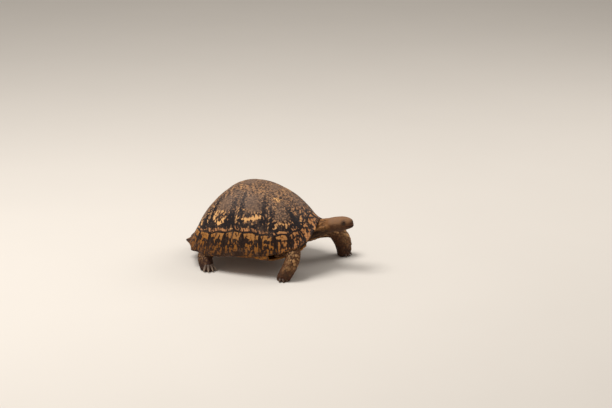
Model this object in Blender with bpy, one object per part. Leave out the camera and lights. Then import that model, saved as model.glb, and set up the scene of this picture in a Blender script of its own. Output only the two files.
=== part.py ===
"""Leopard tortoise, life size, walking, as a still museum model.

Frame: +X is the way the tortoise walks, +Y its left, +Z up, the floor is z = 0.
The upper shell is one smooth dome, written as a function of a heading round
the body and a height from rim to crown.  Every horn plate (scute) is a patch
of that dome, thickened inwards, with a thin seam to its neighbours.
"""
import math

import bmesh
import bpy
import numpy as np
from mathutils import Matrix, Vector

# ---------------------------------------------------------------- dimensions
GAP = 0.0003                 # seam between neighbouring pieces
EDGE = GAP / 2.0             # each plate draws back by half a seam

HALF_LENGTH_FRONT = 0.1872   # shell centre to the front of the rim
HALF_LENGTH_REAR = 0.1854    # shell centre to the back of the rim
SHELL_WIDTH = 0.2590
PLAN_POWER = 2.9             # squareness of the outline seen from above
CROWN_HEIGHT = 0.2235
RIM_HEIGHT = 0.0550          # rim above the floor at mid side
RIM_SLOPE = 0.0120           # rise forward, drop backward
RIM_FRONT_LIFT = 0.0480      # sweep up towards the front corners
RIM_REAR_LIFT = 0.0100       # upturned rear rim
RIM_DIP = 0.0045             # rim lower over the thighs
RIM_DIP_PLACE = 2.17         # radians from straight ahead
RIM_DIP_WIDTH = 0.35
NECK_ARCH = 0.0260           # extra arch over the neck
NECK_ARCH_WIDTH = 0.27       # radians
SIDE_ROUND = 2.4457
SIDE_FULLNESS = 1.9495
FRONT_FULLNESS = 1.2533
REAR_FULLNESS = 1.4757
FRONT_FLARE = 0.0205
REAR_FLARE = 0.0306
FLARE_REACH = 0.1218

SCUTE_THICK = 0.0040
LIP_EXTRA = 0.0025           # marginal plates thicken towards the rim
MARGINAL_TOP = 0.235         # height of the marginal ring, front and rear
MARGINAL_TOP_SIDE = 0.020
MARGINAL_WAVE = 0.008
# relative widths of the eleven marginals of one side, front to back
MARGINAL_WIDTHS = (42, 40, 40, 42, 44, 50, 52, 50, 47, 46, 43)
SUPRACAUDAL_HALF = 29
RING_SEGMENTS = 4            # facets along one marginal
LOBE_PLACE = 9.05            # a rear lobe of the rim, in marginals from the front
LOBE_SPACING = 1.6
LOBE_SIZE = 0.0050

PLASTRON_BOTTOM = 0.0380
PLASTRON_THICK = 0.0050
FOLD = 0.084                 # half width of the flat of the plastron
BRIDGE_SLOPE = 0.375
BRIDGE_FOLD = 0.1125         # beyond it the bridge turns up to the rim
BRIDGE_TURN = 0.0090         # width of the turned-up edge
BRIDGE_TUCK = 0.0035
FRONT_FOLD = 0.095
FRONT_SLOPE = 0.30

TRUNK_DEPTH = 0.0060         # trunk top below the outer shell surface
SEAM_HALF_WIDTHS = {"v12": 0.033, "v23": 0.035, "v34": 0.035, "v45": 0.028}

HEAD_CENTRE = (0.2445, 0.0065, 0.1328)
HEAD_TURN = math.radians(10.0)
HEAD_PITCH = math.radians(8.0)
EYE_RADIUS = 0.0050
EYE_PLACE = (0.0085, 0.0128, 0.0062)
MOUTH_HEIGHT = -0.0042
MOUTH_TILT = math.radians(9.0)
BEAK_BACK = 0.0130

CLAW_LENGTH = 0.0135
CLAW_RADIUS = 0.0047

COLOURS = {
    "scute_horn": ((0.20, 0.13, 0.07), 0.62),
    "plastron_horn": ((0.38, 0.26, 0.11), 0.60),
    "skin": ((0.16, 0.10, 0.065), 0.85),
    "eye": ((0.02, 0.015, 0.012), 0.12),
    "beak": ((0.10, 0.075, 0.055), 0.50),
}


# ------------------------------------------------------------------ the dome
def plan_radius(phi):
    """Distance from the centre to the rim at heading phi."""
    c = np.cos(phi)
    s = np.sin(phi)
    a = np.where(c > 0, HALF_LENGTH_FRONT, HALF_LENGTH_REAR)
    b = SHELL_WIDTH / 2
    n = PLAN_POWER
    return (np.abs(c / a) ** n + np.abs(s / b) ** n) ** (-1 / n)


def rim_height(phi):
    """Height of the lower edge of the rim at heading phi."""
    c = np.cos(phi)
    arch = NECK_ARCH * np.exp(-(np.arctan2(np.sin(phi), c) / NECK_ARCH_WIDTH) ** 2)
    lift = RIM_FRONT_LIFT * np.clip(c, 0, 1) ** 4
    lift += RIM_REAR_LIFT * np.clip(-c, 0, 1) ** 4
    turned = np.abs(np.arctan2(np.sin(phi), c))
    dip = RIM_DIP * np.exp(-((turned - RIM_DIP_PLACE) / RIM_DIP_WIDTH) ** 2)
    return RIM_HEIGHT + RIM_SLOPE * c + lift + arch - dip


def dome(phi, t):
    """Point of the outer shell: heading phi, t from 0 at the rim to 1 on top."""
    c = np.cos(phi)
    s = np.sin(phi)
    front = np.clip(c, 0, 1) ** 2
    rear = np.clip(-c, 0, 1) ** 2
    side = s ** 2
    rho = np.cos(t * math.pi / 2)
    power = SIDE_ROUND * side + 2 * (front + rear)
    full = SIDE_FULLNESS * side + FRONT_FULLNESS * front + REAR_FULLNESS * rear
    rise = np.clip(1 - rho ** power, 0, 1) ** (1 / full)
    flare = FRONT_FLARE * front + REAR_FLARE * rear ** 1.5
    radius = (plan_radius(phi) - flare) * rho + flare * np.exp(-t / FLARE_REACH)
    rim = rim_height(phi)
    return np.stack([radius * c, radius * s, rim + (CROWN_HEIGHT - rim) * rise], -1)


def disc_point(pq):
    """Dome point of a place on the unit disc: centre is the crown, edge the rim."""
    pq = np.asarray(pq, float)
    reach = np.hypot(pq[..., 0], pq[..., 1])
    return dome(np.arctan2(pq[..., 1], pq[..., 0]), 1 - reach)


def disc_normal(pq, step=0.004):
    """Outward unit normal of the dome at a place on the unit disc."""
    pq = np.asarray(pq, float)
    reach = np.hypot(pq[..., 0], pq[..., 1])[..., None]
    pq = pq * np.minimum(1, 0.985 / np.maximum(reach, 1e-9))
    du = np.array([step, 0.0])
    dv = np.array([0.0, step])
    along = disc_point(pq + du) - disc_point(pq - du)
    across = disc_point(pq + dv) - disc_point(pq - dv)
    normal = np.cross(along, across)
    return normal / np.linalg.norm(normal, axis=-1, keepdims=True)


def to_disc(phi, t):
    return np.stack([(1 - t) * np.cos(phi), (1 - t) * np.sin(phi)], -1)


def plan_to_disc(x, y):
    """Disc place whose dome point has about the plan position x, y."""
    phi = math.atan2(y, x)
    reach = math.hypot(x, y)
    levels = np.linspace(0, 1, 400)
    points = dome(np.full_like(levels, phi), levels)
    radii = np.hypot(points[:, 0], points[:, 1])
    t = float(np.interp(-reach, -radii, levels))
    return to_disc(phi, t)


# --------------------------------------------------------- the ring of seams
def ring_headings():
    """Headings of the ring samples of one side, RING_SEGMENTS per marginal."""
    fine = np.linspace(0, math.pi, 721)
    rim = dome(fine, np.zeros_like(fine))
    steps = np.linalg.norm(np.diff(rim, axis=0), axis=1)
    run = np.concatenate([[0], np.cumsum(steps)])
    widths = np.array(list(MARGINAL_WIDTHS) + [SUPRACAUDAL_HALF], float)
    marks = np.concatenate([[0], np.cumsum(widths)]) / widths.sum()
    samples = []
    for first, last in zip(marks[:-1], marks[1:]):
        samples += list(np.linspace(first, last, RING_SEGMENTS, endpoint=False))
    samples.append(1.0)
    return np.interp(np.array(samples) * run[-1], run, fine)


RING = ring_headings()


def ring_top(index):
    """Height of the upper edge of the marginals at a ring sample."""
    phi = RING[index]
    wave = math.cos(2 * math.pi * index / RING_SEGMENTS)
    return MARGINAL_TOP + MARGINAL_TOP_SIDE * math.sin(phi) ** 2 - MARGINAL_WAVE * wave


def ring_place(index, side):
    """Disc place of the ring seam, index counted from the front, side +1 left."""
    return to_disc(side * RING[index], ring_top(index))


def ring_run(first, last, side):
    step = 1 if last >= first else -1
    return [ring_place(i, side) for i in range(first, last + step, step)]


def rule(start, end, pieces):
    """Straight seam on the disc, both ends included."""
    start = np.asarray(start, float)
    end = np.asarray(end, float)
    return [start + (end - start) * k / pieces for k in range(pieces + 1)]


def chain(*runs):
    """Join runs of places to one closed outline without repeated corners."""
    outline = []
    for run in runs:
        for place in run:
            if not outline or np.linalg.norm(outline[-1] - place) > 1e-7:
                outline.append(np.asarray(place, float))
    if np.linalg.norm(outline[0] - outline[-1]) < 1e-7:
        outline.pop()
    return outline


# corner samples on the ring, counted in facets from the front
CORNER_V1 = RING_SEGMENTS + 2            # middle of marginal 2
CORNER_C12 = 4 * RING_SEGMENTS + 2       # middle of marginal 5
CORNER_C23 = 6 * RING_SEGMENTS + 2
CORNER_C34 = 8 * RING_SEGMENTS + 2
CORNER_V5 = 10 * RING_SEGMENTS + 2


def seam_corners(side):
    """Plan corners of the vertebral plates on one side, as disc places."""
    w = SEAM_HALF_WIDTHS
    plan = {
        "v12": (0.090, w["v12"]), "v2": (0.059, 0.047), "v23": (0.026, w["v23"]),
        "v3": (-0.011, 0.050), "v34": (-0.046, w["v34"]), "v4": (-0.081, 0.045),
        "v45": (-0.112, w["v45"]),
    }
    return {key: plan_to_disc(x, side * y) for key, (x, y) in plan.items()}


def vertebral_outline(number):
    """Closed outline of a vertebral plate, counter-clockwise from above."""
    left = seam_corners(1)
    right = seam_corners(-1)
    if number == 1:
        front_right = ring_run(CORNER_V1, 0, -1)
        front_left = ring_run(0, CORNER_V1, 1)
        return chain(front_right, front_left,
                     rule(ring_place(CORNER_V1, 1), left["v12"], 3),
                     rule(left["v12"], right["v12"], 4),
                     rule(right["v12"], ring_place(CORNER_V1, -1), 3))
    if number == 5:
        last = len(RING) - 1
        rear_left = ring_run(CORNER_V5, last, 1)
        rear_right = ring_run(last, CORNER_V5, -1)
        return chain(rule(right["v45"], left["v45"], 3),
                     rule(left["v45"], ring_place(CORNER_V5, 1), 3),
                     rear_left, rear_right,
                     rule(ring_place(CORNER_V5, -1), right["v45"], 3))
    front = {2: "v12", 3: "v23", 4: "v34"}[number]
    lateral = "v%d" % number
    rear = {2: "v23", 3: "v34", 4: "v45"}[number]
    ahead = 4 if number == 2 else 3
    return chain(rule(right[front], left[front], ahead),
                 rule(left[front], left[lateral], 2),
                 rule(left[lateral], left[rear], 2),
                 rule(left[rear], right[rear], 3),
                 rule(right[rear], right[lateral], 2),
                 rule(right[lateral], right[front], 2))


def costal_outline(number, side):
    """Closed outline of a costal plate of the left side, mirrored for the right."""
    corner = seam_corners(side)
    if number == 1:
        outline = chain(ring_run(CORNER_V1, CORNER_C12, side),
                        rule(ring_place(CORNER_C12, side), corner["v2"], 4),
                        rule(corner["v2"], corner["v12"], 2),
                        rule(corner["v12"], ring_place(CORNER_V1, side), 3))
    elif number == 2:
        outline = chain(ring_run(CORNER_C12, CORNER_C23, side),
                        rule(ring_place(CORNER_C23, side), corner["v3"], 4),
                        rule(corner["v3"], corner["v23"], 2),
                        rule(corner["v23"], corner["v2"], 2),
                        rule(corner["v2"], ring_place(CORNER_C12, side), 4))
    elif number == 3:
        outline = chain(ring_run(CORNER_C23, CORNER_C34, side),
                        rule(ring_place(CORNER_C34, side), corner["v4"], 4),
                        rule(corner["v4"], corner["v34"], 2),
                        rule(corner["v34"], corner["v3"], 2),
                        rule(corner["v3"], ring_place(CORNER_C23, side), 4))
    else:
        outline = chain(ring_run(CORNER_C34, CORNER_V5, side),
                        rule(ring_place(CORNER_V5, side), corner["v45"], 3),
                        rule(corner["v45"], corner["v4"], 2),
                        rule(corner["v4"], ring_place(CORNER_C34, side), 4))
    return outline if side > 0 else outline[::-1]


def marginal_outline(number, side):
    """Closed outline of a marginal plate, from the rim up to the ring seam."""
    first = (number - 1) * RING_SEGMENTS
    last = number * RING_SEGMENTS
    rim = [to_disc(side * RING[i], 0.0) for i in range(first, last + 1)]
    outline = chain(rim,
                    rule(rim[-1], ring_place(last, side), 3),
                    ring_run(last, first, side),
                    rule(ring_place(first, side), rim[0], 3))
    return outline if side > 0 else outline[::-1]


def supracaudal_outline():
    """Closed outline of the single plate over the tail."""
    first = 11 * RING_SEGMENTS
    last = len(RING) - 1
    rim_left = [to_disc(RING[i], 0.0) for i in range(first, last + 1)]
    rim_right = [to_disc(-RING[i], 0.0) for i in range(last, first - 1, -1)]
    return chain(rim_left, rim_right,
                 rule(rim_right[-1], ring_place(first, -1), 3),
                 ring_run(first, last, -1), ring_run(last, first, 1),
                 rule(ring_place(first, 1), rim_left[0], 3))


# ------------------------------------------------------------- mesh helpers
def unit(v):
    return v / np.maximum(np.linalg.norm(v, axis=-1, keepdims=True), 1e-12)


def rim_jut(pq):
    """Outward shift of the free rim: two rear lobes a side with a notch between
    them, a wave along the ring counted in plates."""
    phi = np.arctan2(pq[..., 1], pq[..., 0])
    index = np.interp(np.abs(phi), RING, np.arange(len(RING))) / RING_SEGMENTS
    window = np.clip((index - 8.3) / 0.5, 0, 1) * np.clip((11.5 - index) / 0.5, 0, 1)
    wave = np.cos(2 * math.pi * (index - LOBE_PLACE) / LOBE_SPACING)
    shift = window * (LOBE_SIZE * wave - LOBE_SIZE / 2)
    shift = shift * (np.hypot(pq[..., 0], pq[..., 1]) > 0.999)
    way = np.stack([np.cos(phi), np.sin(phi), np.zeros_like(phi)], -1)
    return way * shift[..., None]


def draw_back(points, normals, distance):
    """Move a closed outline inwards on its surface by distance, with mitres."""
    back = points - np.roll(points, 1, axis=0)
    ahead = np.roll(points, -1, axis=0) - points
    n1 = unit(np.cross(normals, back))
    n2 = unit(np.cross(normals, ahead))
    spread = np.maximum(1 + (n1 * n2).sum(-1, keepdims=True), 0.4)
    return points + distance * (n1 + n2) / spread


def material(name):
    """One Principled material per kind of surface."""
    found = bpy.data.materials.get(name)
    if found:
        return found
    colour, roughness = COLOURS[name]
    made = bpy.data.materials.new(name)
    made.use_nodes = True
    shader = made.node_tree.nodes["Principled BSDF"]
    shader.inputs["Base Color"].default_value = (*colour, 1.0)
    shader.inputs["Roughness"].default_value = roughness
    shader.inputs["Metallic"].default_value = 0.0
    return made


def add_object(name, mesh, group, surface=None):
    made = bpy.data.objects.new(name, mesh)
    group.objects.link(made)
    if surface:
        mesh.materials.append(material(surface))
    return made


def finish_mesh(name, bm):
    """Close a bmesh into a mesh with its faces pointing out."""
    bmesh.ops.recalc_face_normals(bm, faces=bm.faces)
    mesh = bpy.data.meshes.new(name)
    bm.to_mesh(mesh)
    bm.free()
    return mesh


def ring_faces(bm, lower, upper):
    """Join two closed rows of vertices with a band of quads."""
    count = len(lower)
    for k in range(count):
        nxt = (k + 1) % count
        bm.faces.new((lower[k], lower[nxt], upper[nxt], upper[k]))


def scute(name, outline, group, flat_rim=False):
    """Horn plate: dome patch inside an outline, thickened along the normals."""
    pq = np.array(outline)
    normal = disc_normal(pq)
    edge = draw_back(disc_point(pq), normal, EDGE)
    heart = pq.mean(axis=0)
    middle_pq = heart + 0.55 * (pq - heart)
    middle = disc_point(middle_pq)
    thick = np.full(len(pq), SCUTE_THICK)
    middle_thick = np.full(len(pq), SCUTE_THICK)
    if flat_rim:
        edge = edge + rim_jut(pq)
        reach = np.hypot(pq[:, 0], pq[:, 1])
        thick += LIP_EXTRA * np.clip((reach - 0.76) / 0.24, 0, 1)
        middle_thick += LIP_EXTRA * 0.5
    bm = bmesh.new()
    outer = [bm.verts.new(p) for p in edge]
    band = [bm.verts.new(p) for p in middle]
    top = bm.verts.new(disc_point(heart))
    inner = [bm.verts.new(p) for p in edge - normal * thick[:, None]]
    inner_band = [bm.verts.new(p) for p in
                  middle - disc_normal(middle_pq) * middle_thick[:, None]]
    bottom = bm.verts.new(disc_point(heart) - disc_normal(heart) * middle_thick[0])
    ring_faces(bm, outer, band)
    ring_faces(bm, inner_band, inner)
    ring_faces(bm, inner, outer)
    count = len(outer)
    for k in range(count):
        nxt = (k + 1) % count
        bm.faces.new((band[k], band[nxt], top))
        bm.faces.new((inner_band[nxt], inner_band[k], bottom))
    return add_object(name, finish_mesh(name, bm), group, "scute_horn")


# ----------------------------------------------------------------- plastron
def plastron_height(x, y):
    """Lower face of the belly shell: flat, folded up at the bridge and front,
    and turned up to the rim beyond the bridge's second fold."""
    bridge = BRIDGE_SLOPE * max(0.0, abs(y) - FOLD)
    height = PLASTRON_BOTTOM + bridge + FRONT_SLOPE * max(0.0, x - FRONT_FOLD)
    rim = rim_height(math.atan2(y, x)) - BRIDGE_TUCK
    beyond = abs(y) - bridge_edge(min(0.09, max(-0.09, x))) + BRIDGE_TURN
    share = min(1.0, max(0.0, beyond / BRIDGE_TURN))
    return height + max(0.0, rim - height) * share


def bridge_edge(x):
    """Outer edge of the bridge, just inside the lip of the marginals."""
    a = HALF_LENGTH_FRONT if x > 0 else HALF_LENGTH_REAR
    wide = SHELL_WIDTH / 2 * (1 - abs(x / a) ** PLAN_POWER) ** (1 / PLAN_POWER)
    return wide - SCUTE_THICK - LIP_EXTRA - 2.5 * GAP - 0.0006 * (x > 0.055)


def plastron_plans():
    """Plan outlines of the six plates of the left half, front to back."""
    def edge(first, last, count):
        return [(x, bridge_edge(x)) for x in np.linspace(first, last, count)]

    return {
        "gular": [(0.140, 0.0), (0.144, 0.012), (0.139, 0.026), (0.124, 0.040),
                  (0.117, 0.0)],
        "humeral": [(0.117, 0.0), (0.124, 0.040), (0.116, 0.056), (0.107, 0.066),
                    (0.0955, 0.070), (0.0955, 0.0)],
        "pectoral": [(0.0945, 0.0), (0.0945, 0.070), (0.088, 0.078)]
                    + edge(0.080, 0.048, 3) + [(0.044, FOLD), (0.056, 0.0)],
        "abdominal": [(0.056, 0.0), (0.044, FOLD)] + edge(0.048, -0.074, 6)
                     + [(-0.080, 0.078), (-0.062, 0.0)],
        "femoral": [(-0.062, 0.0), (-0.080, 0.078), (-0.098, 0.072),
                    (-0.122, 0.060), (-0.110, 0.0)],
        "anal": [(-0.110, 0.0), (-0.122, 0.060), (-0.142, 0.048),
                 (-0.152, 0.030), (-0.143, 0.0)],
    }


def plastron_scute(name, plan, side, group):
    """Belly plate: plan outline, folded to the belly surface, thickened up."""
    points = np.array([(x, side * y, 0.0) for x, y in plan])
    if side < 0:
        points = points[::-1]
    area = np.cross(points, np.roll(points, -1, axis=0))[:, 2].sum()
    if area < 0:
        points = points[::-1]
    up = np.tile((0.0, 0.0, 1.0), (len(points), 1))
    points = draw_back(points, up, EDGE)
    bm = bmesh.new()
    bm.faces.new([bm.verts.new(p) for p in points])
    for fold in (side * FOLD, side * BRIDGE_FOLD):
        geometry = bm.verts[:] + bm.edges[:] + bm.faces[:]
        bmesh.ops.bisect_plane(bm, geom=geometry, plane_co=(0, fold, 0),
                               plane_no=(0, 1, 0))
    for vert in bm.verts:
        vert.co.z = plastron_height(vert.co.x, vert.co.y)
    raised = bmesh.ops.extrude_face_region(bm, geom=bm.faces[:])
    for item in raised["geom"]:
        if isinstance(item, bmesh.types.BMVert):
            item.co.z += PLASTRON_THICK
    return add_object(name, finish_mesh(name, bm), group, "plastron_horn")


# ------------------------------------------------------------ soft body parts
def smooth_rows(rows, count):
    """Catmull-Rom interpolation of a short table of stations."""
    rows = np.asarray(rows, float)
    padded = np.vstack([2 * rows[0] - rows[1], rows, 2 * rows[-1] - rows[-2]])
    places = np.linspace(0, len(rows) - 1, count)
    made = []
    for place in places:
        k = min(int(place), len(rows) - 2)
        u = place - k
        p0, p1, p2, p3 = padded[k:k + 4]
        made.append(0.5 * (2 * p1 + (p2 - p0) * u
                           + (2 * p0 - 5 * p1 + 4 * p2 - p3) * u ** 2
                           + (3 * p1 - p0 - 3 * p2 + p3) * u ** 3))
    return np.array(made)


def loft(name, rings, group, surface):
    """Closed body through rings of points, capped at both ends."""
    bm = bmesh.new()
    rows = [[bm.verts.new(p) for p in ring] for ring in rings]
    for lower, upper in zip(rows[:-1], rows[1:]):
        ring_faces(bm, lower, upper)
    bm.faces.new(rows[0][::-1])
    bm.faces.new(rows[-1])
    return add_object(name, finish_mesh(name, bm), group, surface)


def limb_rings(stations, count, around, reference, flat_end):
    """Elliptic rings along a curved limb; stations are x, y, z, wide, deep."""
    rows = smooth_rows(stations, count)
    path = rows[:, :3]
    tangent = unit(np.gradient(path, axis=0))
    if flat_end:
        tangent[-1] = (0.0, 0.0, -1.0)
        tangent[-2] = unit(tangent[-2] * 0.3 + np.array([0.0, 0.0, -1.0]))
    rings = []
    turn = np.linspace(0, 2 * math.pi, around, endpoint=False)
    for row, way in zip(rows, tangent):
        across = unit(np.cross(way, reference))
        along = np.cross(across, way)
        rings.append(row[:3] + np.outer(np.cos(turn) * row[3], across)
                     + np.outer(np.sin(turn) * row[4], along))
    return rings


def cut(target, cutter):
    """Exact Boolean difference."""
    step = target.modifiers.new("cut_" + cutter.name, "BOOLEAN")
    step.operation = "DIFFERENCE"
    step.object = cutter


def settle(target):
    """Apply the modifiers of an object and keep only its largest body."""
    graph = bpy.context.evaluated_depsgraph_get()
    mesh = bpy.data.meshes.new_from_object(target.evaluated_get(graph))
    target.modifiers.clear()
    bm = bmesh.new()
    bm.from_mesh(mesh)
    bmesh.ops.remove_doubles(bm, verts=bm.verts, dist=1e-6)
    bmesh.ops.dissolve_degenerate(bm, edges=bm.edges, dist=1e-6)
    waiting = set(bm.verts)
    bodies = []
    while waiting:
        seed = waiting.pop()
        body = {seed}
        front = [seed]
        while front:
            for edge in front.pop().link_edges:
                for vert in edge.verts:
                    if vert in waiting:
                        waiting.discard(vert)
                        body.add(vert)
                        front.append(vert)
        bodies.append(body)
    bodies.sort(key=len)
    extra = [vert for body in bodies[:-1] for vert in body]
    bmesh.ops.delete(bm, geom=extra, context="VERTS")
    bmesh.ops.triangulate(bm, faces=bm.faces)
    bm.to_mesh(mesh)
    bm.free()
    target.data = mesh
    return target


def trunk_rings(grow, around=28):
    """Rings of the trunk from the flat of the belly up to the crown."""
    phi = np.linspace(0, 2 * math.pi, around, endpoint=False)
    c = np.cos(phi)
    s = np.sin(phi)
    front = np.clip(c, 0, 1) ** 2
    rear = np.clip(-c, 0, 1) ** 2
    side = s ** 2

    def oval(a_front, a_rear, b):
        a = np.where(c > 0, a_front, a_rear)
        r = (np.abs(c / a) ** 2.6 + np.abs(s / b) ** 2.6) ** (-1 / 2.6)
        return r + grow

    floor = PLASTRON_BOTTOM + PLASTRON_THICK + GAP - grow
    low = oval(0.088, 0.100, 0.080)
    rings = [np.stack([low * c, low * s, np.full_like(c, floor)], -1)]
    mid = oval(0.092, 0.104, 0.112)
    mid_z = floor + 0.0112 * side + 0.012 * (front + rear)
    rings.append(np.stack([mid * c, mid * s, mid_z], -1))
    upper = oval(0.100, 0.108, 0.1165)
    upper_z = 0.098 * side + 0.128 * front + 0.098 * rear
    rings.append(np.stack([upper * c, upper * s, upper_z], -1))
    for level in (0.34, 0.48, 0.62, 0.76, 0.88):
        pq = to_disc(phi, np.full_like(phi, level))
        depth = TRUNK_DEPTH - grow + 0.002 * (front + rear) * (level < 0.4)
        rings.append(disc_point(pq) - disc_normal(pq) * depth[:, None])
    return rings


def trunk(name, grow, group, surface=None):
    """Body inside the shell, recessed where the neck and limbs come out."""
    bm = bmesh.new()
    rings = trunk_rings(grow)
    rows = [[bm.verts.new(p) for p in ring] for ring in rings]
    for lower, upper in zip(rows[:-1], rows[1:]):
        ring_faces(bm, lower, upper)
    bm.faces.new(rows[0][::-1])
    crown = disc_point((0.0, 0.0)) - np.array([0, 0, TRUNK_DEPTH - grow])
    top = bm.verts.new(crown)
    for k in range(len(rows[-1])):
        bm.faces.new((rows[-1][k], rows[-1][(k + 1) % len(rows[-1])], top))
    return add_object(name, finish_mesh(name, bm), group, surface)


def shell_cutter(group, around=64):
    """Thick copy of the dome wall, a little larger than the plates."""
    phi = np.linspace(0, 2 * math.pi, around, endpoint=False)
    outer = []
    inner = []
    for level in (0.0, 0.06, 0.12, 0.2, 0.3, 0.42, 0.56, 0.72, 0.88):
        pq = to_disc(phi, np.full_like(phi, level))
        normal = disc_normal(pq)
        lip = LIP_EXTRA * max(0.0, 1 - level / 0.24)
        wall = SCUTE_THICK + lip + 0.0026
        outer.append(disc_point(pq) + normal * 0.0040)
        inner.append(disc_point(pq) - normal * wall)
    outer[0][:, 2] -= 0.0016
    inner[0][:, 2] -= 0.0016
    bm = bmesh.new()
    out_rows = [[bm.verts.new(p) for p in ring] for ring in outer]
    in_rows = [[bm.verts.new(p) for p in ring] for ring in inner]
    for rows in (out_rows, in_rows):
        for lower, upper in zip(rows[:-1], rows[1:]):
            ring_faces(bm, lower, upper)
        bm.faces.new(rows[-1])
    ring_faces(bm, in_rows[0], out_rows[0])
    return add_object("cut_shell", finish_mesh("cut_shell", bm), group)


def plastron_cutter(group):
    """Slab a little larger than the belly plates."""
    plans = plastron_plans()
    outline = [(0.1425, 0.0), (0.1455, 0.0125), (0.1405, 0.0272), (0.1250, 0.0415),
               (0.1170, 0.0572), (0.1078, 0.0678), (0.0962, 0.0715), (0.0895, 0.0790)]
    outline += [(x, y + 0.0004) for x, y in plans["pectoral"][3:6]]
    outline += [(x, y + 0.0004) for x, y in plans["abdominal"][2:8]]
    outline += [(-0.0815, 0.0795), (-0.0985, 0.0735), (-0.1235, 0.0612),
                (-0.1435, 0.0490), (-0.1540, 0.0300), (-0.1545, 0.0)]
    points = outline + [(x, -y) for x, y in outline[-2:0:-1]]
    bm = bmesh.new()
    bm.faces.new([bm.verts.new((x, y, 0.0)) for x, y in points])
    for across, value in ((1, FOLD), (1, -FOLD), (1, BRIDGE_FOLD), (1, -BRIDGE_FOLD),
                          (0, FRONT_FOLD)):
        plane = [0.0, 0.0, 0.0]
        plane[across] = value
        facing = [0.0, 0.0, 0.0]
        facing[across] = 1.0
        geometry = bm.verts[:] + bm.edges[:] + bm.faces[:]
        bmesh.ops.bisect_plane(bm, geom=geometry, plane_co=plane, plane_no=facing)
    for vert in bm.verts:
        vert.co.z = plastron_height(vert.co.x, vert.co.y) - GAP
    raised = bmesh.ops.extrude_face_region(bm, geom=bm.faces[:])
    for item in raised["geom"]:
        if isinstance(item, bmesh.types.BMVert):
            item.co.z += PLASTRON_THICK + 2 * GAP
    return add_object("cut_plastron", finish_mesh("cut_plastron", bm), group)


# ---------------------------------------------------------------------- limbs
def claw(name, base, tip, group):
    """Pointed claw, wide end at base."""
    base = Vector(base)
    tip = Vector(tip)
    way = tip - base
    bm = bmesh.new()
    bmesh.ops.create_cone(bm, cap_ends=True, segments=7, radius1=CLAW_RADIUS,
                          radius2=CLAW_RADIUS * 0.34, depth=way.length)
    turn = way.to_track_quat("Z", "Y").to_matrix().to_4x4()
    place = Matrix.Translation((base + tip) / 2) @ turn
    bmesh.ops.transform(bm, matrix=place, verts=bm.verts)
    return add_object(name, finish_mesh(name, bm), group)


def add_claws(leg, foot, heading, spread, count, radii, group):
    """Row of claws round the front of a foot, joined to the leg."""
    for k in range(count):
        angle = heading + spread * (k / (count - 1) - 0.5)
        way = np.array([math.cos(angle), math.sin(angle), 0.0])
        reach_x = radii[0] * math.cos(angle - heading)
        reach_y = radii[1] * math.sin(angle - heading)
        rim = math.hypot(reach_x, reach_y)
        base = np.array([foot[0], foot[1], 0.0085]) + way * (rim - 0.0050)
        tip = np.array([foot[0], foot[1], 0.0022]) + way * (rim - 0.0050 + CLAW_LENGTH)
        piece = claw("%s_claw_%d" % (leg.name, k + 1), base, tip, group)
        join = leg.modifiers.new("claw_%d" % (k + 1), "BOOLEAN")
        join.operation = "UNION"
        join.object = piece


LEGS = {
    # stations from inside the trunk to the sole: x, y, z, wide, deep
    "leg_front_right": [
        (0.060, -0.032, 0.080, 0.020, 0.024), (0.112, -0.062, 0.079, 0.023, 0.027),
        (0.138, -0.085, 0.070, 0.0200, 0.0225), (0.144, -0.100, 0.052, 0.0175, 0.0195),
        (0.136, -0.109, 0.030, 0.0165, 0.0185), (0.126, -0.113, 0.010, 0.0165, 0.0178),
        (0.122, -0.114, 0.000, 0.0148, 0.0155)],
    "leg_front_left": [
        (0.060, 0.032, 0.074, 0.020, 0.024), (0.118, 0.056, 0.072, 0.023, 0.0265),
        (0.156, 0.077, 0.079, 0.0215, 0.0240), (0.192, 0.096, 0.074, 0.0210, 0.0235),
        (0.210, 0.109, 0.046, 0.0210, 0.0232), (0.214, 0.115, 0.014, 0.0190, 0.0195),
        (0.213, 0.116, 0.000, 0.0165, 0.0170)],
    "leg_rear_right": [
        (-0.055, -0.045, 0.078, 0.020, 0.024), (-0.086, -0.070, 0.070, 0.0205, 0.0250),
        (-0.099, -0.090, 0.051, 0.0185, 0.0240), (-0.103, -0.105, 0.030, 0.0180, 0.0205),
        (-0.094, -0.115, 0.010, 0.0175, 0.0185), (-0.089, -0.117, 0.000, 0.0160, 0.0165)],
    "leg_rear_left": [
        (-0.050, 0.044, 0.078, 0.020, 0.024), (-0.082, 0.070, 0.070, 0.0205, 0.0235),
        (-0.095, 0.090, 0.051, 0.0185, 0.0215), (-0.096, 0.105, 0.030, 0.0180, 0.0195),
        (-0.087, 0.114, 0.010, 0.0178, 0.0188), (-0.083, 0.116, 0.000, 0.0160, 0.0165)],
}
FEET = {
    # heading of the toes and angle they spread over, degrees, number of claws
    "leg_front_right": (-32, 120, 5),
    "leg_front_left": (10, 120, 5),
    "leg_rear_right": (-50, 105, 4),
    "leg_rear_left": (30, 105, 4),
}


def leg(name, group, cutters, tools):
    """Leg with its claws, trimmed clear of trunk, shell and plastron."""
    stations = LEGS[name]
    rings = limb_rings(stations, 11, 12, np.array([1.0, 0.0, 0.0]), True)
    made = loft(name, rings, group, "skin")
    heading, spread, count = FEET[name]
    add_claws(made, stations[-1][:2], math.radians(heading), math.radians(spread),
              count, stations[-1][4:2:-1], tools)
    for cutter in cutters:
        cut(made, cutter)
    return settle(made)


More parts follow.
